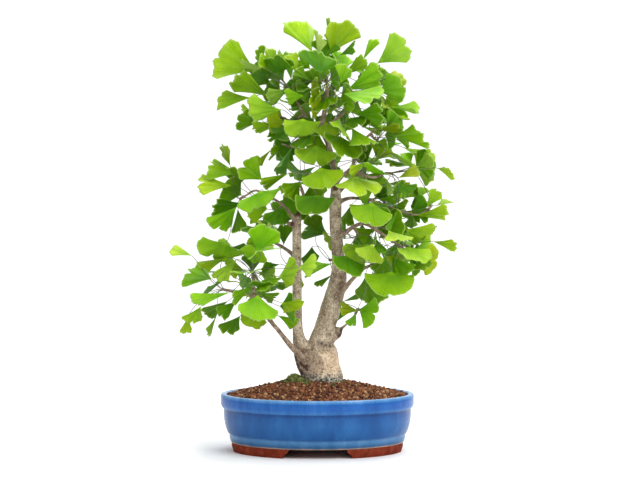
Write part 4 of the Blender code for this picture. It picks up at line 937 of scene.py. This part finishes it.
# Bright, light, middle, dark, olive, yellowish, pale from below, and grey-green. These are partly own tones
# and
# partly painted light: bright and light are painted full light, yellowish and olive are painted light through
# the blade, and dark is painted shade inside the crown.
LEAF_TINTS_AND_LIGHT = {
    "b": (0.41, 0.68, 0.040), "l": (0.34, 0.61, 0.018), "m": (0.225, 0.475, 0.006),
    "d": (0.108, 0.275, 0.002), "o": (0.30, 0.46, 0.005), "y": (0.47, 0.62, 0.030),
    "p": (0.35, 0.55, 0.09), "g": (0.17, 0.36, 0.040)}


def seen(x, z, y):
    """A place seen from the front, carried along the viewer's line of sight to depth y."""
    scale = (EYE_DISTANCE + y) / EYE_DISTANCE
    return Vector((x * scale, y, EYE_HEIGHT + (z - EYE_HEIGHT) * scale))


class Leaf:
    """One fan blade: where its stalk joins, how it lies, and how its edge runs."""

    def __init__(self, base, heading, side, spread, reach, rng):
        self.base = base
        self.heading = heading
        self.side = side
        self.normal = heading.cross(side).normalized()
        self.spread = spread
        self.reach = reach
        self.cut = rng.uniform(*CUTS)
        self.cup = rng.uniform(*CUPS)
        self.phase = rng.uniform(0, math.tau)

    def ripple(self, station, size, waves, turns):
        """The height of a ripple at a station of the fan."""
        return size * math.sin(waves * station + turns * self.phase)

    def rim(self, station, cut_half=CUT_HALF, cut_share=1.0, flatness=FLATNESS):
        """Distance from the stalk end to the edge."""
        half = min(self.spread / 2, FLAT_HALF_MOST)
        flat = flatness * (1 - math.cos(half) / math.cos(half * station))
        lobes = 1.0 - flat - CORNER_ROUNDING * station ** 8 + self.ripple(station, *LOBES)
        notch = self.cut * cut_share * max(0.0, 1.0 - abs(station) / cut_half)
        return self.reach * (lobes - notch)

    def wave(self, station):
        """How far the blade is cupped and waved out of its plane, as a share of its reach."""
        return self.cup * (station ** 2 - 0.3) + self.ripple(station, *WAVES)

    def flat(self, angle):
        """The direction in the blade's plane at an angle from its middle."""
        return self.heading * math.cos(angle) + self.side * math.sin(angle)

    def point(self, station, share):
        """A point of the blade: station across the fan, share of the way out to the edge."""
        place = self.base + self.flat(station * self.spread / 2) * (self.rim(station) * share)
        return place + self.normal * (self.wave(station) * self.reach * share ** 1.4)

    def real_point(self, station, share):
        """The point on the real outline, with drawn-in sides, round corners, a slit, teeth and flutter."""
        angle = station * (1 - SIDE_DRAW * (1 - share)) * self.spread * SPREAD_GROWTH / 2
        corner = max(0.0, abs(station) - CORNER_START) / (1 - CORNER_START)
        teeth = self.ripple(station, *COARSE_TEETH) + self.ripple(station, *FINE_TEETH)
        growth = 1 + SMALL_GROWTH * max(0.0, 1 - self.reach / GROWN_REACH)
        radius = self.rim(station, SLIT_HALF, SLIT_SHARE, REAL_FLATNESS) * growth * share
        radius *= 1 + (teeth - CORNER_TRIM * corner ** 2) * share ** 2
        flutter = self.ripple(station, *FLUTTER) * share ** 2
        rise = (self.wave(station) + flutter) * self.reach * share ** 1.4
        neck = self.side * station * STALK_RADIUS * (1 - share) ** 4
        return self.base + self.flat(angle) * radius + self.normal * rise + neck


def leaf_from_corners(corners, depth, toward, rng):
    """The true fan that looks as narrow or short as its three places seen from the front."""
    base = seen(corners[0], corners[1], depth)
    left = seen(corners[2], corners[3], depth) - base
    right = seen(corners[4], corners[5], depth) - base
    looks = left.angle(right)
    spread = max(looks, min(looks + math.radians(SPREAD_TURN), math.radians(SPREAD_TURNED_MOST)))
    spread = min(max(spread, math.radians(SPREAD_LEAST)), math.radians(SPREAD_MOST))
    # Tilted to or from the viewer, both sides of the true fan are equally long and lie the spread apart.
    # That gives a quadratic for arm, the square of their length.
    across = left.cross(right).length
    mix = left.length_squared + right.length_squared - 2 * left.dot(right) * math.cos(spread)
    sine = math.sin(spread) ** 2
    arm = (mix + math.sqrt(max(0.0, mix ** 2 - 4 * sine * across ** 2))) / (2 * sine)
    longest = max(left.length_squared, right.length_squared)
    arm = min(max(arm, longest), longest * REACH_GAIN ** 2)
    left_rise = math.sqrt(max(0.0, arm - left.length_squared))
    right_rise = math.sqrt(max(0.0, arm - right.length_squared))
    left.y = toward * left_rise
    right.y = toward * right_rise if looks > spread else -toward * right_rise
    spread = left.angle(right)
    heading = (left + right).normalized()
    side = (right - left).normalized()
    return Leaf(base, heading, side, spread, math.sqrt(arm) / CORNER_SHARE, rng)


def scatter(rng, most):
    """A random vector, each part of it up to most."""
    return Vector([rng.uniform(-most, most) for _ in range(3)])


def leaf_behind(root, outward, rng):
    """A leaf that no front view shows, reaching back and out from its shoot."""
    away = (outward + scatter(rng, 0.9)).normalized()
    base = root + away * rng.uniform(*BACK_STALKS)
    heading = away + Vector((rng.uniform(-0.5, 0.5), rng.uniform(-0.1, 0.5), rng.uniform(-0.9, 0.1)))
    heading.normalize()
    tilt = Vector((rng.uniform(-0.5, 0.5), rng.uniform(-0.6, 0.6), 1))
    side = heading.cross(tilt).normalized()
    spread = math.radians(rng.uniform(*BACK_SPREADS))
    return Leaf(base, heading, side, spread, rng.uniform(*BACK_REACHES), rng)


def stalk_route(start, out, leaf, bend, steps):
    """A curve from the shoot to the blade, leaving along one and arriving along the other."""
    end = leaf.base
    length = (end - start).length
    first = start + out * length * bend[0]
    second = leaf.base - leaf.heading * length * bend[1] + Vector((bend[2], bend[3], 0))
    route = []
    for step in range(steps + 1):
        t = step / steps
        s = 1 - t
        route.append(start * s ** 3 + first * 3 * s * s * t + second * 3 * s * t * t + end * t ** 3)
    return route


def limb_at(place):
    """The middle of the wood nearest a place, the limb's direction there, and whether it is a tip."""
    best = None
    for _, points in WOOD:
        for index in range(len(points) - 1):
            start, end = Vector(points[index][:3]), Vector(points[index + 1][:3])
            share = (place - start).dot(end - start) / (end - start).length_squared
            share = min(max(share, 0), 1)
            point = start.lerp(end, share)
            distance = (point - place).length
            if best is None or distance < best[0]:
                tip = index == len(points) - 2 and share > 0.9
                best = (distance, point, (end - start).normalized(), tip)
    return best[1:]


class Shoot:
    """A short shoot: a woody spur and the leaves that it carries.

    rows are its lines of LEAVES, and wishes say what each leaf should be, as (shape, depth, toward, seed).
    aim() finds its CAD solid, the way out that its spur points, and the spur's foot and tip.
    """

    def __init__(self, name, place):
        self.name = name
        self.root = Vector(place)
        self.rows = []
        self.wishes = []
        self.leaves = []

    def wish_for(self, rng, index):
        """What each leaf should be, as the CAD draws it before it looks for room."""
        deep = self.root.y > BACK_SHOOT_DEPTH
        first = []
        for row in self.rows:
            depth = self.root.y + rng.uniform(*OFFSETS["s" if deep else row[6]])
            toward = -1 if row[6] == "f" else rng.choice((-1, 1))
            self.wishes.append((row, depth, toward, rng.random()))
            first.append(leaf_from_corners(row, depth, toward, random.Random(1)))
        outward = Vector((self.root.x * 0.004, 1.0, 0.25))
        for _ in range(BACK_LEAVES if deep else index % NEAR_EVERY == 0):
            seed = rng.random()
            self.wishes.append((outward, 0, 0, seed))
            first.append(leaf_behind(self.root, outward, random.Random(seed)))
        if first:
            self.aim(first)

    def aim(self, first):
        """Turn the spur toward the middle of its leaves. Its foot is where the CAD solid begins."""
        self.solid = solid_in_mm("spray_" + self.name)
        self.root, along, tip = limb_at(self.root)
        wish = Vector((0, 0, 0.2))
        for leaf in first:
            wish += (leaf.base - self.root).normalized()
        wish.normalize()
        self.out = (along + wish * 0.8) if tip else (wish - along * wish.dot(along))
        self.out.normalize()
        beside = self.out.orthogonal().normalized() * 0.3
        self.foot = self.solid.ray_cast(self.root + beside, self.out)[0] - beside
        self.tip = self.foot + self.out * SPUR_LENGTH

    def off_solid(self, places):
        """The farthest that any of the places lies from the CAD solid."""
        return max(self.solid.find_nearest(place)[3] for place in places)

    def find_leaf(self, wish):
        """Add the leaf and stalk that the CAD solid holds for a wish. Where it holds none, there is none."""
        shape, depth, toward, seed = wish
        fits = []
        for step in DEPTH_STEPS:
            rng = random.Random(seed)
            if toward:
                leaf = leaf_from_corners(shape, depth + step, toward, rng)
            else:
                leaf = leaf_behind(self.root, shape + Vector((0, 0, step / 30)), rng)
            fits.append((self.off_solid([leaf.point(station, 1) for station in CAD_EDGE]), len(fits), leaf))
        off, _, leaf = min(fits)
        if off > IN_SOLID:
            return
        middle = self.foot.lerp(self.tip, STALK_PLACES[len(self.leaves) % len(STALK_PLACES)])
        away = leaf.base - middle
        away = (away - self.out * away.dot(self.out)).normalized()
        start = middle + away * STALK_OFFSET
        on, back, aside, behind = min(
            STALK_BENDS, key=lambda bend: self.off_solid(stalk_route(start, self.out, leaf, bend, 2)[1:2]))
        leaf.tint = shape[7] if toward else random.Random(seed).choice("mdgo")
        eased = (on * STALK_EASE, back * STALK_EASE, aside, behind)
        leaf.route = stalk_route(start, self.out, leaf, eased, STALK_STEPS)
        self.leaves.append(leaf)

    def fill(self, rng):
        """Smaller, shaded leaves between a bunch's own and a little behind them."""
        grown = list(self.leaves)
        share = FULL_FILL_SHARE if self.name.startswith(FULL_BUNCHES) else FILL_SHARE
        if len(grown) < 2 or self.name in OPEN_BUNCHES:
            return
        for _ in range(round(share * len(grown))):
            one, two = rng.sample(grown, 2)
            base = self.tip.lerp(one.base.lerp(two.base, rng.uniform(0.3, 0.7)), rng.uniform(0.5, 0.9))
            base += Vector((rng.uniform(-6, 6), rng.uniform(4, 24), rng.uniform(-6, 6)))
            heading = ((base - self.tip).normalized() + scatter(rng, 0.35)).normalized()
            side = heading.cross(Vector((rng.uniform(-0.7, 0.7), 1, rng.uniform(-0.7, 0.7)))).normalized()
            spread = math.radians(rng.uniform(*FILL_SPREADS))
            leaf = Leaf(base, heading, side, spread, rng.uniform(*FILL_REACHES), rng)
            # Mostly dark tints: painted shade.
            leaf.tint = rng.choice(FILL_TINTS)
            start = self.foot.lerp(self.tip, 0.8)
            leaf.route = stalk_route(start, self.out, leaf, STALK_BENDS[0], STALK_STEPS)
            self.leaves.append(leaf)


def carry_rows(shoots):
    """Hang each leaf of the table on the shoot that its stalk points back to."""
    for row in LEAVES:
        base, left, right = Vector(row[0:2]), Vector(row[2:4]), Vector(row[4:6])
        stalk_end = base - ((left - base) + (right - base)).normalized() * STALK_GUESS
        best = None
        for shoot in shoots:
            if shoot.root.y > BACK_SHOOT_DEPTH and row[6] != "b":
                continue
            flat = Vector((shoot.root.x, shoot.root.z))
            cost = (flat - stalk_end).length + STALK_WEIGHT * abs((flat - base).length - STALK_USUAL)
            if best is None or cost < best[0]:
                best = (cost, shoot)
        best[1].rows.append(row)


def blade_shape(leaf, colour):
    """A fan blade: a net from the stalk out to the edge, made thick, with its pale side underneath."""
    bm = bmesh.new()
    weave = bm.loops.layers.uv.new("fan")
    tint = bm.verts.layers.float_color.new("leaf")
    rows = []
    stations = [2 * step / BLADE_STEPS - 1 for step in range(BLADE_STEPS + 1)]
    for share in BLADE_RINGS:
        rows.append([bm.verts.new(leaf.real_point(station, share)) for station in stations])
    for ring in range(len(rows) - 1):
        for step in range(BLADE_STEPS):
            corners = ((ring, step), (ring + 1, step), (ring + 1, step + 1), (ring, step + 1))
            face = bm.faces.new([rows[row][place] for row, place in corners])
            for loop, (row, place) in zip(face.loops, corners):
                loop[weave].uv = (place / BLADE_STEPS, BLADE_RINGS[row])
    bm.normal_update()
    for vert in bm.verts:
        vert.co += vert.normal * BLADE_THICKNESS / 2
        vert[tint] = (*colour, 1)
    bmesh.ops.solidify(bm, geom=bm.faces[:], thickness=BLADE_THICKNESS)
    bm.normal_update()
    upper_along_normal = (leaf.normal.y < 0) != (leaf.tint == "p")
    for face in bm.faces:
        face.smooth = True
        is_upper = (face.normal.dot(leaf.normal) > 0) == upper_along_normal
        face.material_index = UPPER_SLOT if is_upper else UNDER_SLOT
    return bm


def finish_tube(bunch, verts, slot, colour):
    """Give a tube in a bunch its finish and colour."""
    tint = bunch.verts.layers.float_color["leaf"]
    for vert in verts:
        vert[tint] = (*colour, 1)
        for face in vert.link_faces:
            face.material_index = slot
            face.smooth = True


def add_leaf(bunch, leaf, rng):
    """One leaf's blade and stalk, in the bunch's mesh."""
    shade = rng.uniform(0.84, 1.18)
    warmth = rng.uniform(0.80, 1.20)
    red, green, blue = LEAF_TINTS_AND_LIGHT[leaf.tint]
    colour = (red * shade * warmth, green * shade, blue * shade * rng.uniform(0.4, 1.5))
    mesh = new_mesh("blade", blade_shape(leaf, colour))
    bunch.from_mesh(mesh)
    bpy.data.meshes.remove(mesh)
    radii = [STALK_RADIUS * (1.25 - 0.35 * step / STALK_STEPS) for step in range(STALK_STEPS + 1)]
    finish_tube(bunch, tube(bunch, leaf.route, radii, STALK_SIDES), STALK_SLOT, colour)


def bunch_mesh(shoot, rng):
    """A spur ringed with the scars of old leaves, and every leaf on it."""
    bunch = bmesh.new()
    bunch.loops.layers.uv.new("fan")
    bunch.verts.layers.float_color.new("leaf")
    foot = shoot.foot.lerp(shoot.root, 0.5)
    places, radii = [], []
    for step in range(SPUR_RINGS + 1):
        places.append(foot.lerp(shoot.tip, step / SPUR_RINGS))
        radii.append(SPUR_RADIUS * (1.05 - 0.3 * step / SPUR_RINGS) * (1.1 if step % 2 else 0.93))
    finish_tube(bunch, tube(bunch, places, radii, SPUR_SIDES, True), SPUR_SLOT, SPUR_COLOUR)
    for leaf in shoot.leaves:
        add_leaf(bunch, leaf, rng)
    return bunch


def vein_group():
    """A node group: veins that run out through a fan from its stalk. 0 is on a vein and 1 between two."""
    group, inlet, outlet = mask_group("fan veins", {"Veins": 34.0})
    across = node(group, "SeparateXYZ", Vector=inlet["Vector"]).outputs["X"]
    wander = node(group, "TexNoise", Vector=inlet["Vector"], Scale=7.0, Detail=1.0).outputs["Fac"]
    shifted = maths(group, "MULTIPLY_ADD", wander, 0.03, across)
    waves = maths(group, "PINGPONG", maths(group, "MULTIPLY", shifted, inlet["Veins"]), 0.5)
    feed(group, outlet["Mask"], maths(group, "MULTIPLY", waves, 2.0))
    return group


VEINS = vein_group()


def blade_links(pale):
    """Living leaf: satin, veined, a little see-through, with a pale rim painted as a highlight and painted
    shade near its stalk. The underside is paler and matt.
    """
    def links(tree, shader):
        own = node(tree, "Attribute", attribute_name="leaf").outputs["Color"]
        fan = node(tree, "UVMap", uv_map="fan").outputs["UV"]
        veins = node(tree, "Group", node_tree=VEINS, Vector=fan, Veins=25.0).outputs["Mask"]
        streaks = ramp(tree, veins, (0.0, (1.38, 1.24, 1.3)), (0.3, (1, 1, 1)), (1.0, (0.88, 0.92, 0.86)))
        mottle = mottled(tree, object_place(tree), 35, 260, 0.3)
        soft = ramp(tree, mottle, (0.36, (0.78, 0.86, 0.74)), (0.62, (1.15, 1.08, 1.1)))
        colour = blended(tree, 0.9, blended(tree, 1.0, own, soft, "MULTIPLY"), streaks, "MULTIPLY")
        out = node(tree, "SeparateXYZ", Vector=fan).outputs["Y"]
        # Painted shade and light along the fan: dark a little way out from the stalk, lighter toward the
        # edge.
        length = ramp(
            tree, out, (0.0, (1.3, 1.2, 1.1)), (0.22, (0.66, 0.78, 0.7)), (0.62, (0.98, 0.98, 1)),
            (0.92, (1.14, 1.08, 1.2)))
        colour = blended(tree, 1.0, colour, length, "MULTIPLY")
        # Painted highlight: a thin pale rim along the fan's edge.
        rim = ramp(tree, out, (0.935, (0, 0, 0)), (0.985, (0.75, 0.75, 0.75)))
        colour = blended(tree, rim, colour, (0.50, 0.70, 0.14))
        if pale:
            colour = blended(tree, 0.30, colour, (0.28, 0.46, 0.15))
        tree.links.new(colour, shader.inputs["Base Color"])
        shader.inputs["Roughness"].default_value = 0.65 if pale else 0.38
        shader.inputs["Specular IOR Level"].default_value = 0.14
        bumped(tree, shader, veins, 0.25, 0.0003)
        glow = node(tree, "BsdfTranslucent", Color=blended(tree, 0.5, colour, (0.36, 0.62, 0.01)))
        mix = node(tree, "MixShader", Fac=0.30)
        tree.links.new(shader.outputs[0], mix.inputs[1])
        tree.links.new(glow.outputs[0], mix.inputs[2])
        tree.links.new(mix.outputs[0], tree.nodes["Material Output"].inputs["Surface"])
    return links


def stalk_links(tree, shader):
    """A green stalk, flushed brown-pink toward the shoot."""
    mottled_base(
        tree, shader, (45, 300, 0.25),
        (0.40, (0.060, 0.080, 0.022)), (0.52, (0.13, 0.16, 0.045)), (0.62, (0.12, 0.070, 0.040)))
    shader.inputs["Roughness"].default_value = 0.5


upper_side = new_material("leaf upper side", blade_links(False))
under_side = new_material("leaf underside", blade_links(True))
stalk_skin = new_material("leaf stalk", stalk_links)
shoots = [Shoot(name, place) for name, place in SHOOTS]
carry_rows(shoots)
layout_rng = random.Random(LAYOUT_SEED)
for index, shoot in enumerate(shoots):
    shoot.wish_for(layout_rng, index)
tint_rng = random.Random(TINT_SEED)
fill_rng = random.Random(FILL_SEED)
leaf_skins = (upper_side, under_side, stalk_skin, bark)
for shoot in shoots:
    if not shoot.wishes:
        continue
    for wish in shoot.wishes:
        shoot.find_leaf(wish)
    shoot.fill(fill_rng)
    bunch = finished("leaves_" + shoot.name, bunch_mesh(shoot, tint_rng), *leaf_skins)
    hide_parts("spray_" + shoot.name)


# Moss grows in small cushions on the damp soil at the foot of the trunk, mostly on its left.
# Each cushion is a dome of short green shoots, pressed into the grains: x, y, half width, height.
MOSS_CUSHIONS = (
    (-27, -8, 12, 11), (-17, -20, 9, 7), (-38, -10, 8, 5), (-8, -29, 6, 4), (47, -16, 5, 3.5), (45, 12, 6, 4),
    (-22, 8, 8, 6), (30, -33, 4, 3))
MOSS_DEPTH_SHARE = 0.8
MOSS_SHOOTS = 2.7
MOSS_SHOOT_RADII, MOSS_SHOOT_LENGTHS, MOSS_SHOOT_SIDES = (0.28, 0.34, 0.08), (1.6, 2.8), 4
MOSS_SEED = 9


def moss_cushion(bm, x, y, width, height, ground, rng):
    """A low dome with short pointed shoots all over it."""
    foot = ground_under(ground, x, y)
    size = Matrix.Diagonal((width, width * MOSS_DEPTH_SHARE, height))
    dome = bmesh.ops.create_icosphere(bm, subdivisions=3, radius=1)["verts"]
    for vert in dome:
        lump = 1 + 0.16 * noise.noise(vert.co * 2.3 + foot)
        vert.co = foot + size @ vert.co * lump
    for _ in range(int(MOSS_SHOOTS * width * width)):
        turn, lean = rng.uniform(0, math.tau), math.acos(rng.uniform(0.05, 1))
        out = Vector((math.sin(lean) * math.cos(turn), math.sin(lean) * math.sin(turn), math.cos(lean)))
        root = foot + size @ out * 0.95
        grow = (out + scatter(rng, 0.4) + Vector((0, 0, 0.4))).normalized()
        route = [root, root + grow, root + grow * rng.uniform(*MOSS_SHOOT_LENGTHS)]
        tube(bm, route, MOSS_SHOOT_RADII, MOSS_SHOOT_SIDES)


def moss_links(tree, shader):
    """Dry-topped moss, green to straw."""
    mottled_base(
        tree, shader, (180, 1800, 0.6),
        (0.40, (0.016, 0.022, 0.006)), (0.5, (0.10, 0.125, 0.018)), (0.60, (0.40, 0.44, 0.10)))
    shader.inputs["Roughness"].default_value = 0.95
    shader.inputs["Sheen Weight"].default_value = 0.3


def moss_mesh():
    """All the cushions in one mesh."""
    bm = bmesh.new()
    ground = solid_in_mm("soil")
    rng = random.Random(MOSS_SEED)
    for x, y, width, height in MOSS_CUSHIONS:
        moss_cushion(bm, x, y, width, height, ground, rng)
    return bm


moss = finished("moss_cushions", moss_mesh(), new_material("moss", moss_links))


# The object stands on a plain pale sheet that curves up behind it, as on a small photo table.
SHEET_HALF = 3.2
SHEET_FRONT, SHEET_BACK = -4.0, 1.7
SHEET_CURVE = 0.9
SHEET_HEIGHT = 3.4
SHEET_STEPS = 24


def sheet_mesh():
    """A sheet swept flat along the floor, round a bend and up."""
    bm = bmesh.new()
    side = [(SHEET_FRONT, 0.0), (SHEET_BACK, 0.0)]
    for step in range(1, SHEET_STEPS + 1):
        turn = math.pi / 2 * step / SHEET_STEPS
        side.append((SHEET_BACK + SHEET_CURVE * math.sin(turn), SHEET_CURVE * (1 - math.cos(turn))))
    side.append((SHEET_BACK + SHEET_CURVE, SHEET_HEIGHT))
    left = [bm.verts.new((-SHEET_HALF, y, z)) for y, z in side]
    right = [bm.verts.new((SHEET_HALF, y, z)) for y, z in side]
    for index in range(len(side) - 1):
        bm.faces.new((left[index], right[index], right[index + 1], left[index + 1])).smooth = True
    return bm


def sheet_links(tree, shader):
    """Plain matt paper, near white."""
    shader.inputs["Base Color"].default_value = (0.94, 0.94, 0.94, 1)
    shader.inputs["Roughness"].default_value = 0.9


sheet = new_object("sheet", sheet_mesh())
sheet.data.materials.append(new_material("pale sheet", sheet_links))

# Soft daylight: a wide key from above and the front right, a weak fill on the left, and light from
# above and behind that glows through the leaves. Each has a place, a size in metres and its watts.
LIGHTS = (
    ("key", (1.5, -1.5, 2.2), 2.0, 54),
    ("fill", (-1.9, -1.6, 1.0), 1.8, 4),
    ("top", (0.1, 0.3, 2.3), 1.2, 30),
    ("back", (0.9, 1.5, 1.5), 1.2, 14),
)
AIM = Vector((0, 0, 0.30))
for name, place, size, power in LIGHTS:
    lamp = bpy.data.lights.new(name, "AREA")
    lamp.size = size
    lamp.energy = power
    light = bpy.data.objects.new(name, lamp)
    light.location = place
    light.rotation_euler = (AIM - Vector(place)).to_track_quat("-Z", "Y").to_euler()
    bpy.context.scene.collection.objects.link(light)

world = bpy.data.worlds.new("pale room")
world.use_nodes = True
daylight = world.node_tree.nodes["Background"]
daylight.inputs["Color"].default_value = (1, 1, 1, 1)
daylight.inputs["Strength"].default_value = 0.62
bpy.context.scene.world = world
bpy.context.scene.view_settings.view_transform = "Standard"

# The camera stands level, 2.1 m in front of the tree's root and a little below half its height.
EYE_RAISED = 2.6
LENS, SENSOR = 80.6, 36
camera_data = bpy.data.cameras.new("camera")
camera_data.lens = LENS
camera_data.sensor_width = SENSOR
camera = bpy.data.objects.new("camera", camera_data)
camera.location = (Vector((0, -EYE_DISTANCE, EYE_HEIGHT + EYE_RAISED)) - MIDDLE) * MM
camera.rotation_euler = (math.radians(90), 0, 0)
bpy.context.scene.collection.objects.link(camera)
bpy.context.scene.camera = camera
